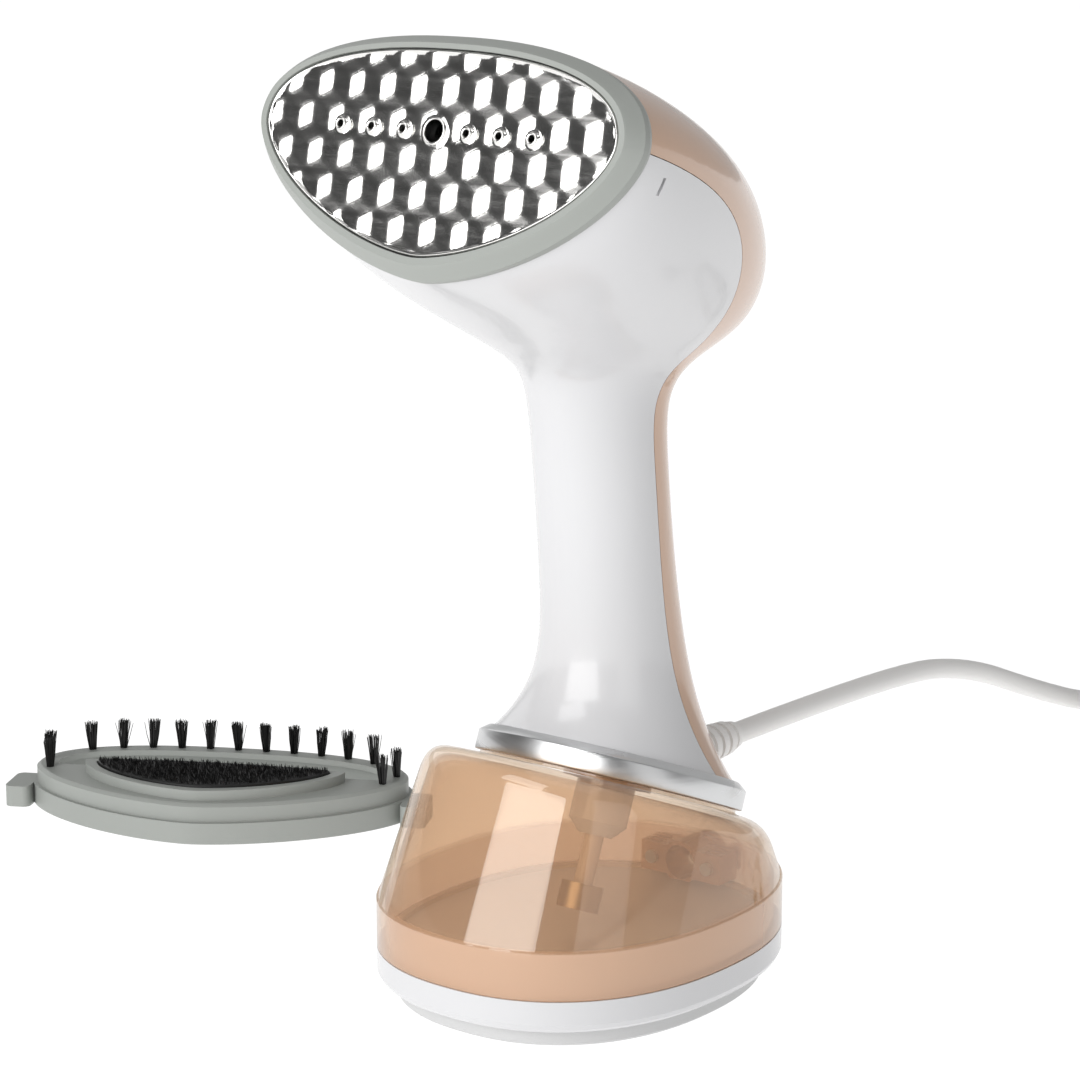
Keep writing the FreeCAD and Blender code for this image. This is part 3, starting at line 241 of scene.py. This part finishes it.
# ---------------------------------------------------------------- the embossed steam plate
PLATE_HALF_WIDTH = 61.6
PLATE_ABOVE = 22.5
PLATE_BELOW = 34.5
UPPER_EXPONENT = 2.35
LOWER_EXPONENT = 1.6
NOZZLE_PITCH = 11.25
CUBE_PITCH = 11.25
CUBE_EDGE = CUBE_PITCH / math.sqrt(3)
CUBE_TILT = math.radians(12.0)
CUBE_STEP = CUBE_EDGE * math.tan(CUBE_TILT) / 2
PLATE_LEVEL = -1.25
LAND_LEVEL = -0.05
EDGE_GAP = 0.7
HOLE_GAP = 0.5
GRID_PER_EDGE = 11
GRID_WIDE = 62
GRID_BELOW = 36
GRID_ABOVE = 24
CLEAR_OF_EDGE = 1.5
CLEAR_OF_HOLE = 0.25


def head_point(angle, half_width, above, below):
    """A point on the head's outline: a flat-topped upper half and a pointed chin."""
    lift = math.sin(angle)
    exponent = UPPER_EXPONENT if lift >= 0 else LOWER_EXPONENT
    x = half_width * math.copysign(abs(math.cos(angle)) ** (2 / exponent), math.cos(angle))
    y = (above if lift >= 0 else below) * math.copysign(abs(lift) ** (2 / exponent), lift)
    return x, y


def inside_head(x, y, inset):
    """True if a point lies inside the plate's outline moved in by an inset."""
    exponent = UPPER_EXPONENT if y >= 0 else LOWER_EXPONENT
    reach = (PLATE_ABOVE if y >= 0 else PLATE_BELOW) - inset
    return (abs(x) / (PLATE_HALF_WIDTH - inset)) ** exponent + (abs(y) / reach) ** exponent < 1


def even_loop(half_width, above, below, gap):
    """Points spaced evenly round the head's outline."""
    fine = [head_point(2 * math.pi * step / 1440, half_width, above, below) for step in range(1441)]
    lengths = [0.0]
    for first, second in zip(fine, fine[1:]):
        lengths.append(lengths[-1] + math.dist(first, second))
    count = max(12, round(lengths[-1] / gap))
    points = []
    index = 0
    for step in range(count):
        target = lengths[-1] * step / count
        while lengths[index + 1] < target:
            index += 1
        share = (target - lengths[index]) / max(1e-9, lengths[index + 1] - lengths[index])
        first = fine[index]
        second = fine[index + 1]
        points.append((first[0] + (second[0] - first[0]) * share, first[1] + (second[1] - first[1]) * share))
    return points


def cube_height(x, y):
    """The stepped-cube relief: a triangular lattice of corners at three heights, with flat facets."""
    # the lattice has one axis along Y: corners at (edge * sqrt(3)/2 * a, edge * (b + a / 2))
    column = x / (CUBE_EDGE * math.sqrt(3) / 2)
    rise = y / CUBE_EDGE - column / 2
    a = math.floor(column)
    b = math.floor(rise)
    u = column - a
    v = rise - b
    corner = {}
    for da, db in ((0, 0), (1, 0), (0, 1), (1, 1)):
        corner[(da, db)] = ((b + db) - (a + da)) % 3
    if u + v <= 1:
        level = corner[(0, 0)] * (1 - u - v) + corner[(1, 0)] * u + corner[(0, 1)] * v
    else:
        level = corner[(1, 1)] * (u + v - 1) + corner[(1, 0)] * (1 - v) + corner[(0, 1)] * (1 - u)
    return level * CUBE_STEP


NOZZLES = [(index * NOZZLE_PITCH, 3.5 if index == 0 else 1.425) for index in range(-3, 4)]
LAND_WIDTH = 0.5
LAND_SLOPE = 0.6
SOFTEN = [(0.0, 0.0)] + [
    (reach * math.cos(math.radians(turn)), reach * math.sin(math.radians(turn)))
    for reach in (0.65, 1.3) for turn in range(0, 360, 60)
]


def plate_height(x, y):
    """The relief with its creases rounded, and a flat land round each nozzle."""
    relief = sum(cube_height(x + dx, y + dy) for dx, dy in SOFTEN) / len(SOFTEN)
    level = PLATE_LEVEL + relief
    for centre, radius in NOZZLES:
        away = math.hypot(x - centre, y) - radius - LAND_WIDTH
        if away < LAND_SLOPE:
            share = ease(max(0.0, min(1.0, away / LAND_SLOPE)))
            level = level * share + (1 - share) * LAND_LEVEL
    return level


def make_plate():
    """The steam plate: stepped-cube relief, a rolled edge and holes for the nozzles."""
    lip = [(1.15, None), (0.9, -0.35), (0.62, -0.12), (0.35, -0.18), (0.12, -0.55), (0.0, -1.15)]
    points = []
    heights = []
    edges = []

    def add_loop(loop, height):
        """Add a closed loop of points and the edges between them."""
        start = len(points)
        for x, y in loop:
            points.append(Vector((x, y)))
            heights.append(plate_height(x, y) if height is None else height)
        for index in range(len(loop)):
            edges.append((start + index, start + (index + 1) % len(loop)))

    for inset, height in lip:
        loop = even_loop(PLATE_HALF_WIDTH - inset, PLATE_ABOVE - inset, PLATE_BELOW - inset, EDGE_GAP)
        add_loop(loop, height)
    for centre, radius in NOZZLES:
        around = max(16, round(2 * math.pi * radius / HOLE_GAP))
        turns = [2 * math.pi * step / around for step in range(around)]
        add_loop([(centre + radius * math.cos(t), radius * math.sin(t)) for t in turns], LAND_LEVEL)
    fine = CUBE_EDGE / GRID_PER_EDGE
    column_step = fine * math.sqrt(3) / 2
    for column in range(-round(GRID_WIDE / column_step), round(GRID_WIDE / column_step) + 1):
        x = column * column_step
        for row in range(-round(GRID_BELOW / fine), round(GRID_ABOVE / fine) + 1):
            y = (row + 0.5 * (column % 2)) * fine
            clear = all(math.hypot(x - centre, y) > radius + CLEAR_OF_HOLE for centre, radius in NOZZLES)
            if clear and inside_head(x, y, CLEAR_OF_EDGE):
                points.append(Vector((x, y)))
                heights.append(plate_height(x, y))
    cut = delaunay_2d_cdt(points, edges, [], 1, 1e-5)
    placed = cut[0]
    origins = cut[3]
    mesh = bpy.data.meshes.new("embossed_plate")
    build = bmesh.new()
    made_points = []
    for point, sources in zip(placed, origins):
        height = heights[sources[0]] if sources else plate_height(point.x, point.y)
        made_points.append(build.verts.new((FACE @ Vector((point.x, point.y, height))) * MM))
    for face in cut[2]:
        middle = sum((placed[index] for index in face), Vector((0, 0))) / len(face)
        if any((middle - Vector((centre, 0))).length < radius - 0.02 for centre, radius in NOZZLES):
            continue
        build.faces.new([made_points[index] for index in face])
    bmesh.ops.delete(build, geom=[v for v in build.verts if not v.link_faces], context="VERTS")
    bmesh.ops.recalc_face_normals(build, faces=build.faces)
    facing = FACE.to_3x3() @ Vector((0, 0, 1))
    if sum(face.normal.dot(facing) for face in build.faces) < 0:
        bmesh.ops.reverse_faces(build, faces=build.faces)
    for face in build.faces:
        face.smooth = True
    build.to_mesh(mesh)
    build.free()
    steel = MATERIALS["mirror_steel"]
    return made("embossed_plate", mesh, "handset", steel, ("steam_plate",))


# ---------------------------------------------------------------- the brush attachment
TUFT_LENGTH = 11.0
TUFT_PITCH = 10.4
# how far outside the steam plate's outline the line of tufts runs
TUFT_GROW = 1.8
TUFT_FIBRES = 75
BRUSH_TOP = 14.0
CHIN_EXTRA = 1.5
LINT_HALF_WIDTH = 42.0
LINT_RISE = 2.2
LINT_BELOW = 25.0
LINT_TOP_EDGE = -9.0
LINT_FLOOR = 16.8
LINT_FIBRES = 4200
LINT_STEPS = 96


def tuft_places():
    """Eleven tufts over the top of the ring and two at each side, as in the design."""
    wide = PLATE_HALF_WIDTH + TUFT_GROW
    above = PLATE_ABOVE + TUFT_GROW
    below = PLATE_BELOW + TUFT_GROW + CHIN_EXTRA
    places = []
    for step in range(-5, 6):
        x = step * TUFT_PITCH
        fall = (1 - (abs(x) / wide) ** UPPER_EXPONENT) ** (1 / UPPER_EXPONENT)
        places.append((x, above * fall))
    for side in (-1, 1):
        for drop in (2.0, -7.5):
            exponent = UPPER_EXPONENT if drop > 0 else LOWER_EXPONENT
            reach = above if drop > 0 else below
            x = wide * (1 - (abs(drop) / reach) ** exponent) ** (1 / exponent)
            places.append((side * x, drop))
    return places


def add_fibre(build, root, tip, thick, thin, bend):
    """One bristle: a three-sided tapered rod that bows a little."""
    axis = (tip - root).normalized()
    side = axis.cross(Vector((0.31, 0.17, 0.93))).normalized()
    other = axis.cross(side)
    rings = []
    for share in (0.0, 0.55, 1.0):
        centre = root.lerp(tip, share) + bend * (share * (1 - share))
        radius = thick + (thin - thick) * share
        ring = []
        for turn in range(3):
            angle = 2 * math.pi * turn / 3
            offset = side * math.cos(angle) + other * math.sin(angle)
            ring.append(build.verts.new((BRUSH @ (centre + offset * radius)) * MM))
        rings.append(ring)
    join_rings(build, rings)
    build.faces.new(rings[-1])
    build.faces.new(rings[0][::-1])


def make_bristles():
    """Fifteen tufts of nylon bristles, splayed at their tips, with a few stray ones."""
    chance = random.Random(7)
    build = bmesh.new()
    for x, y in tuft_places():
        lean = Vector((chance.uniform(-0.6, 0.6), chance.uniform(-0.6, 0.6), 0))
        for _ in range(TUFT_FIBRES):
            angle = chance.uniform(0, 2 * math.pi)
            spread = math.sqrt(chance.random())
            out = Vector((math.cos(angle), math.sin(angle), 0)) * spread
            root = Vector((x, y, BRUSH_TOP - 0.6)) + out * 1.15
            length = TUFT_LENGTH * chance.uniform(0.86, 1.0)
            stray = 1.9 if chance.random() < 0.03 else 1.0
            tip = Vector((x, y, BRUSH_TOP + length - 0.4)) + out * 2.35 * stray + lean
            bend = Vector((chance.uniform(-0.9, 0.9), chance.uniform(-0.9, 0.9), 0))
            add_fibre(build, root, tip, 0.17, 0.10, bend)
    mesh = bpy.data.meshes.new("bristles")
    build.to_mesh(mesh)
    build.free()
    return made("bristles", mesh, "brush", MATERIALS["black_fibre"], ("bristle_tufts",))


def boat_inside(x, y, half_width, rise, below, top_edge):
    """True inside the lint pad's outline: a shallow arc above, the head's pointed curve below."""
    if abs(x) >= half_width:
        return False
    share = abs(x) / half_width
    if y >= top_edge:
        return y - top_edge < rise * (1 - share * share)
    return share ** LOWER_EXPONENT + ((top_edge - y) / below) ** LOWER_EXPONENT < 1


def make_lint_pad():
    """A short dense pile, leaning one way, on a low base."""
    chance = random.Random(11)
    build = bmesh.new()
    outline = []
    for step in range(LINT_STEPS):
        angle = 2 * math.pi * step / LINT_STEPS
        x = LINT_HALF_WIDTH * math.copysign(abs(math.cos(angle)) ** (2 / LOWER_EXPONENT), math.cos(angle))
        if math.sin(angle) >= 0:
            y = LINT_TOP_EDGE + LINT_RISE * (1 - (x / LINT_HALF_WIDTH) ** 2)
        else:
            y = LINT_TOP_EDGE - LINT_BELOW * abs(math.sin(angle)) ** (2 / LOWER_EXPONENT)
        outline.append((x, y))
    rings = []
    centre_y = LINT_TOP_EDGE - 8.0
    for height, inset in ((LINT_FLOOR, 1.0), (LINT_FLOOR + 1.4, 0.995), (LINT_FLOOR + 1.7, 0.97)):
        ring = []
        for x, y in outline:
            place = Vector((x * inset, centre_y + (y - centre_y) * inset, height))
            ring.append(build.verts.new((BRUSH @ place) * MM))
        rings.append(ring)
    join_rings(build, rings)
    build.faces.new(rings[-1])
    build.faces.new(rings[0][::-1])
    placed = 0
    while placed < LINT_FIBRES:
        x = chance.uniform(-LINT_HALF_WIDTH, LINT_HALF_WIDTH)
        y = chance.uniform(LINT_TOP_EDGE - LINT_BELOW, LINT_TOP_EDGE + LINT_RISE)
        if not boat_inside(x, y, LINT_HALF_WIDTH - 0.5, LINT_RISE, LINT_BELOW - 0.5, LINT_TOP_EDGE):
            continue
        placed += 1
        root = Vector((x, y, LINT_FLOOR + 1.2))
        lean = Vector((chance.uniform(-0.5, 0.5), chance.uniform(-0.9, 0.1), chance.uniform(1.2, 1.9)))
        add_fibre(build, root, root + lean, 0.14, 0.05, Vector((0, 0, 0)))
    mesh = bpy.data.meshes.new("lint_pile")
    build.to_mesh(mesh)
    build.free()
    return made("lint_pile", mesh, "brush", MATERIALS["black_fibre"], ("lint_pad",))


def softened(node, name, body, slot, width):
    """A copy of a CAD solid with its sharp edges rounded over."""
    mesh = nodes[node].data.copy()
    mesh.name = name
    mesh.materials.clear()
    if "custom_normal" in mesh.attributes:
        mesh.attributes.remove(mesh.attributes["custom_normal"])
    build = bmesh.new()
    build.from_mesh(mesh)
    bmesh.ops.remove_doubles(build, verts=build.verts, dist=1e-6)
    bmesh.ops.dissolve_limit(build, angle_limit=math.radians(0.6), verts=build.verts, edges=build.edges)
    sharp = [edge for edge in build.edges if len(edge.link_faces) == 2 and edge.calc_face_angle() > 0.5]
    bmesh.ops.bevel(build, geom=sharp, offset=width * MM, segments=3, profile=0.5, affect="EDGES",
                    clamp_overlap=True, harden_normals=False)
    bmesh.ops.remove_doubles(build, verts=build.verts, dist=2e-6)
    for face in build.faces:
        face.smooth = True
    for edge in build.edges:
        edge.smooth = True
    build.to_mesh(mesh)
    build.free()
    piece = made(name, mesh, body, MATERIALS[slot], (node,))
    normals = piece.modifiers.new("normals", "WEIGHTED_NORMAL")
    normals.keep_sharp = False
    return piece


def make_springs():
    """The three return springs: steel copies of the CAD coils, riding on the handset."""
    for node, joint in (
        ("steam_button_spring", "steam_press"),
        ("power_button_spring", "power_press"),
        ("latch_spring", "latch_press"),
    ):
        mesh = nodes[node].data.copy()
        mesh.materials.clear()
        spring = made(f"coiled_{node}", mesh, "handset", MATERIALS["steel"], (node,))
        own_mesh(spring)


# ---------------------------------------------------------------- the tank and its bright ring
COLLAR = Matrix.Translation((0, 13.0, 59.5)) @ Matrix.Rotation(COLLAR_TILT, 4, "X")
ROUND_STEPS = 192
PLAN_EXPONENT = 2.27
DECK_CENTRE = -4.8
# rows of the tank: half width, half depth, and height above the table
BAND_ROWS = ((54.6, 64.6, 15.65), (55.0, 65.0, 16.1), (55.0, 65.0, 30.1), (54.75, 64.75, 30.5))
OUTER_FOOT = (54.5, 64.5, 30.5)
INNER_FOOT = (52.5, 62.5, 30.5)
INNER_FLOOR = (52.5, 62.5, 15.65)
# and with the level along the collar's axis instead of the height
OUTER_CORNER = (48.6, 53.6, -1.4)
INNER_CORNER = (46.2, 51.2, -3.4)
DECK_ROWS = ((40.9, 38.9, -1.4), (40.5, 38.5, -0.9), (40.5, 38.5, -0.3))
SEAL_GROOVE = ((13.65, -0.3), (13.65, -1.25), (11.35, -1.25), (11.35, -0.3))
VALVE_HOLE = ((9.05, -0.3), (9.05, -3.4))
DECK_INSIDE = (41.0, 39.0, -1.4)
OUTER_SHOULDER = 8.0
INNER_SHOULDER = 6.5
# the filler's pad on the back wall: width, height, depth and corner radius, and its place
PAD_BLOCK = (24.0, 13.4, 4.6, 5.0)
PAD_PLACE = Vector((3.4, 61.0, 23.2))
PAD_CORNER_STEPS = 8
PAD_EDGE = 0.5
FILLER_PLACE = Vector((0, 63, 23.2))
FILLER_RADIUS = 5.5
FILLER_DEPTH = 14
# the bright ring's section, once round: level, half width and half depth
RING_SECTION = (
    (0.0, 38.75, 36.65), (0.0, 41.9, 39.8), (0.12, 42.18, 40.08), (0.4, 42.3, 40.2), (5.7, 42.3, 40.2),
    (6.0, 42.22, 40.12), (6.25, 42.0, 39.9), (8.0, 39.7, 37.7), (8.2, 39.2, 37.2), (8.2, 37.5, 35.5),
    (6.0, 36.5, 34.5), (2.1, 38.75, 36.65),
)


def plan_point(angle, half_width, half_depth):
    """A point on the rounded plan shape of the foot, base and tank."""
    bend = 2 / PLAN_EXPONENT
    x = half_width * math.copysign(abs(math.cos(angle)) ** bend, math.cos(angle))
    y = half_depth * math.copysign(abs(math.sin(angle)) ** bend, math.sin(angle))
    return x, y


def plan_row(half_width, half_depth, height):
    """One level ring of points."""
    row = []
    for step in range(ROUND_STEPS):
        x, y = plan_point(2 * math.pi * step / ROUND_STEPS, half_width, half_depth)
        row.append(Vector((x, y, height)))
    return row


def deck_row(half_width, half_depth, level, centre=DECK_CENTRE):
    """One ring of points in the tilted collar frame."""
    row = []
    for step in range(ROUND_STEPS):
        x, y = plan_point(2 * math.pi * step / ROUND_STEPS, half_width, half_depth)
        row.append(COLLAR @ Vector((x, y + centre, level)))
    return row


def oval_row(half_width, half_depth, level):
    """One elliptical ring about the collar's axis."""
    row = []
    for step in range(ROUND_STEPS):
        angle = 2 * math.pi * step / ROUND_STEPS
        row.append(COLLAR @ Vector((half_width * math.cos(angle), half_depth * math.sin(angle), level)))
    return row


def rounded_shoulder(wall_foot, corner, deck_inside, reach, steps):
    """Rows that turn from the sloping wall into the deck round a soft corner."""
    rows = []
    for step in range(steps + 1):
        share = step / steps
        row = []
        for foot, turn, inner in zip(wall_foot, corner, deck_inside):
            start = turn + (foot - turn).normalized() * reach
            end = turn + (inner - turn).normalized() * reach
            row.append(start * (1 - share) ** 2 + turn * 2 * share * (1 - share) + end * share ** 2)
        rows.append(row)
    return rows


def mesh_from_rows(name, rows):
    """A closed ring-shaped solid: rows of points, each joined to the next and the last to the first."""
    build = bmesh.new()
    rings = [[build.verts.new(point * MM) for point in row] for row in rows]
    join_rings(build, rings + rings[:1])
    bmesh.ops.recalc_face_normals(build, faces=build.faces)
    for face in build.faces:
        face.smooth = True
    mesh = bpy.data.meshes.new(name)
    build.to_mesh(mesh)
    build.free()
    return mesh


def sharpen(mesh, angle=0.6):
    """Keep edges that turn by more than an angle crisp."""
    build = bmesh.new()
    build.from_mesh(mesh)
    for edge in build.edges:
        edge.smooth = len(edge.link_faces) != 2 or edge.calc_face_angle(0) < angle
    build.to_mesh(mesh)
    build.free()


def make_tool(name, mesh):
    """A scratch solid for a boolean."""
    tool = bpy.data.objects.new(name, mesh)
    bpy.context.scene.collection.objects.link(tool)
    return tool


def rounded_block(width, height, depth, corner):
    """A block with rounded corners, its flat faces along Y, centred on X and Z, from y = 0."""
    rows = []
    for y in (0.0, depth - PAD_EDGE, depth):
        inset = PAD_EDGE if y == depth else 0.0
        row = []
        for sx, sz, first in ((1, 1, 0), (-1, 1, 90), (-1, -1, 180), (1, -1, 270)):
            for step in range(PAD_CORNER_STEPS + 1):
                angle = math.radians(first + 90 * step / PAD_CORNER_STEPS)
                x = sx * (width / 2 - corner) + (corner - inset) * math.cos(angle)
                z = sz * (height / 2 - corner) + (corner - inset) * math.sin(angle)
                row.append(Vector((x, y, z)))
        rows.append(row)
    build = bmesh.new()
    rings = [[build.verts.new(point * MM) for point in row] for row in rows]
    join_rings(build, rings)
    build.faces.new(rings[0])
    build.faces.new(rings[-1])
    bmesh.ops.recalc_face_normals(build, faces=build.faces)
    mesh = bpy.data.meshes.new("block")
    build.to_mesh(mesh)
    build.free()
    return mesh


def carve(piece, tool, operation):
    """Apply one boolean and remove its tool."""
    step = piece.modifiers.new("carve", "BOOLEAN")
    step.operation = operation
    step.solver = "EXACT"
    step.object = tool
    with bpy.context.temp_override(object=piece, active_object=piece):
        bpy.ops.object.modifier_apply(modifier=step.name)
    bpy.data.objects.remove(tool)


def make_tank():
    """The clear tank: band, sloping wall, soft shoulder, deck, land, valve hole and filler hole."""
    outer_foot = plan_row(*OUTER_FOOT)
    inner_foot = plan_row(*INNER_FOOT)
    valve_holes = [oval_row(radius, radius, level) for radius, level in VALVE_HOLE]
    rows = [plan_row(*row) for row in BAND_ROWS] + [outer_foot]
    rows += rounded_shoulder(outer_foot, deck_row(*OUTER_CORNER), oval_row(*DECK_INSIDE), OUTER_SHOULDER, 8)
    rows += [oval_row(*row) for row in DECK_ROWS]
    rows += [oval_row(radius, radius, level) for radius, level in SEAL_GROOVE]
    rows += valve_holes
    rows += rounded_shoulder(inner_foot, deck_row(*INNER_CORNER), valve_holes[1], INNER_SHOULDER, 6)[::-1]
    rows += [inner_foot, plan_row(*INNER_FLOOR)]
    mesh = mesh_from_rows("clear_tank", rows)
    tank = made("clear_tank", mesh, "tank_unit", MATERIALS["peach_clear"], ("water_tank",))
    pad = make_tool("pad", rounded_block(*PAD_BLOCK))
    pad.location = PAD_PLACE * MM
    carve(tank, pad, "UNION")
    bpy.ops.mesh.primitive_cylinder_add(
        vertices=64, radius=FILLER_RADIUS * MM, depth=FILLER_DEPTH * MM, location=FILLER_PLACE * MM,
        rotation=(math.pi / 2, 0, 0),
    )
    carve(tank, bpy.context.object, "DIFFERENCE")
    for face in tank.data.polygons:
        face.use_smooth = True
    sharpen(tank.data, 0.45)
    return tank


def make_ring():
    """The bright ring: an upright brushed band with a sloping bevel up to the shells."""
    mesh = mesh_from_rows("bright_ring", [oval_row(wide, deep, level) for level, wide, deep in RING_SECTION])
    sharpen(mesh, 0.5)
    return made("bright_ring", mesh, "handset", MATERIALS["brushed_silver"], ("trim_ring",))


# ---------------------------------------------------------------- the mains lead
CORD_RADIUS = 3.5 * MM
CORD_ROUTE = [(0, 79, 58.5), (0, 177, 58.5), (1, 222, 51), (4, 262, 35), (8, 297, 22.5)]
TAIL_ROUTE = [(100.5, 298, 3.6), (101.5, 270, 4.4), (101, 243, 8.5)]
COIL_CENTRE = (54.5, 325.0)
OUTER_TURN = 45.5
INNER_TURN = 38.5
LAYERS = (18.3, 11.3, 4.3)
POINTS_PER_TURN = 14
LAYER_CHANGE = 0.12


def coil_points():
    """Five and a half turns, clockwise, wound from the top layer down to the floor."""
    rings = [
        (1.0, OUTER_TURN, LAYERS[0]), (1.5, INNER_TURN, LAYERS[0]), (2.5, INNER_TURN, LAYERS[1]),
        (3.5, OUTER_TURN, LAYERS[1]), (4.5, INNER_TURN, LAYERS[2]), (5.5, OUTER_TURN, LAYERS[2]),
    ]
    points = []
    for step in range(round(rings[-1][0] * POINTS_PER_TURN) + 1):
        turns = step / POINTS_PER_TURN
        index = next(i for i, ring in enumerate(rings) if turns <= ring[0] + 1e-6)
        _, radius, height = rings[index]
        if index:
            share = ease(min(1.0, max(0.0, (turns - rings[index - 1][0]) / LAYER_CHANGE)))
            radius = rings[index - 1][1] + (radius - rings[index - 1][1]) * share
            height = rings[index - 1][2] + (height - rings[index - 1][2]) * share
        angle = math.pi - 2 * math.pi * turns
        x = COIL_CENTRE[0] + radius * math.cos(angle)
        y = COIL_CENTRE[1] + radius * math.sin(angle)
        points.append((x, y, height))
    return points


def make_cord():
    """The mains lead: out of the gland, down to the table and into its coil, as one spline."""
    data = bpy.data.curves.new("mains_lead", "CURVE")
    data.dimensions = "3D"
    data.bevel_depth = CORD_RADIUS
    data.bevel_resolution = 6
    data.resolution_u = 8
    route = CORD_ROUTE + coil_points() + TAIL_ROUTE
    spline = data.splines.new("NURBS")
    spline.points.add(len(route) - 1)
    for point, place in zip(spline.points, route):
        point.co = (place[0] * MM, place[1] * MM, place[2] * MM, 1)
    spline.order_u = 3
    spline.use_endpoint_u = True
    data.materials.append(MATERIALS["cord_white"])
    lead = bpy.data.objects.new("mains_lead", data)
    bpy.context.scene.collection.objects.link(lead)
    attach(lead, "handset")
    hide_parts("power_cord", "cord_coil")


# ---------------------------------------------------------------- camera, lights and floor
CAMERA_AZIMUTH = 38.1
CAMERA_ELEVATION = 12.85
CAMERA_DISTANCE = 0.970
CAMERA_TARGET = Vector((0, -0.0203, 0.140))
FOCAL_LENGTH = 111.3
FLOOR_SIZE = 120
FLOOR_GLOW = 0.97
# strength of the studio's walls from in front of the object (-Y) to behind it (+Y)
WALL_FROM = (-0.35, 0.06)
WALL_TO = (0.55, 0.50)
# name, azimuth and elevation in degrees, distance, width and height in metres, watts
SOFTBOXES = (
    ("front_softbox", -4, 14, 1.4, 1.25, 0.95, 15.5),
    ("upper_softbox", -20, 42, 1.4, 0.80, 0.42, 3.5),
    ("right_softbox", 66, 16, 1.4, 0.8, 0.95, 2.0),
    ("top_softbox", 20, 80, 1.5, 1.3, 1.3, 2.5),
    ("left_softbox", -105, 25, 1.5, 0.8, 1.2, 2),
)


def make_camera():
    """A long lens from the front right, a little higher than the top of the head."""
    azimuth = math.radians(CAMERA_AZIMUTH)
    elevation = math.radians(CAMERA_ELEVATION)
    back = Vector((
        math.sin(azimuth) * math.cos(elevation),
        -math.cos(azimuth) * math.cos(elevation),
        math.sin(elevation),
    ))
    data = bpy.data.cameras.new("camera")
    data.lens = FOCAL_LENGTH
    data.sensor_width = 36
    camera = bpy.data.objects.new("camera", data)
    camera.location = CAMERA_TARGET + back * CAMERA_DISTANCE
    camera.rotation_euler = back.to_track_quat("Z", "Y").to_euler()
    bpy.context.scene.collection.objects.link(camera)
    bpy.context.scene.camera = camera


def make_softbox(name, azimuth, elevation, distance, width, height, watts, aim=(0, 0, 0.15)):
    """An area light at a bearing from the object: azimuth 0 is straight ahead of the steam plate."""
    turn = math.radians(azimuth)
    rise = math.radians(elevation)
    out = Vector((math.sin(turn) * math.cos(rise), -math.cos(turn) * math.cos(rise), math.sin(rise)))
    data = bpy.data.lights.new(name, "AREA")
    data.shape = "RECTANGLE"
    data.size = width
    data.size_y = height
    data.energy = watts
    light = bpy.data.objects.new(name, data)
    light.location = Vector(aim) + out * distance
    light.rotation_euler = out.to_track_quat("Z", "Y").to_euler()
    bpy.context.scene.collection.objects.link(light)


def make_stage():
    """A white floor under a studio that is dark in front and bright behind, with softboxes."""
    bpy.ops.mesh.primitive_plane_add(size=FLOOR_SIZE)
    floor = bpy.context.object
    floor.name = "floor"
    white = bpy.data.materials.new("floor_white")
    white.use_nodes = True
    shader = white.node_tree.nodes["Principled BSDF"]
    shader.inputs["Base Color"].default_value = (0.15, 0.15, 0.15, 1)
    shader.inputs["Roughness"].default_value = 0.7
    shader.inputs["Specular IOR Level"].default_value = 0.1
    shader.inputs["Emission Color"].default_value = (1, 1, 1, 1)
    shader.inputs["Emission Strength"].default_value = FLOOR_GLOW
    white.cycles.emission_sampling = "NONE"
    floor.data.materials.append(white)
    world = bpy.data.worlds.new("studio")
    world.use_nodes = True
    tree = world.node_tree
    coordinates = tree.nodes.new("ShaderNodeTexCoord")
    parts = tree.nodes.new("ShaderNodeSeparateXYZ")
    link(tree, coordinates, "Generated", parts, "Vector")
    level = tree.nodes.new("ShaderNodeMapRange")
    level.interpolation_type = "SMOOTHSTEP"
    level.inputs["From Min"].default_value = WALL_FROM[0]
    level.inputs["From Max"].default_value = WALL_TO[0]
    level.inputs["To Min"].default_value = WALL_FROM[1]
    level.inputs["To Max"].default_value = WALL_TO[1]
    link(tree, parts, "Y", level, "Value")
    link(tree, level, "Result", tree.nodes["Background"], "Strength")
    tree.nodes["Background"].inputs["Color"].default_value = (1, 1, 1, 1)
    bpy.context.scene.world = world
    for row in SOFTBOXES:
        make_softbox(*row)
    bpy.context.scene.view_settings.view_transform = "Standard"


dress_nodes()
make_plate()
make_bristles()
make_lint_pad()
softened("brush_frame", "brush_body", "brush", "grey_matte", 0.7)
make_springs()
make_tank()
make_ring()
make_cord()
make_camera()
make_stage()
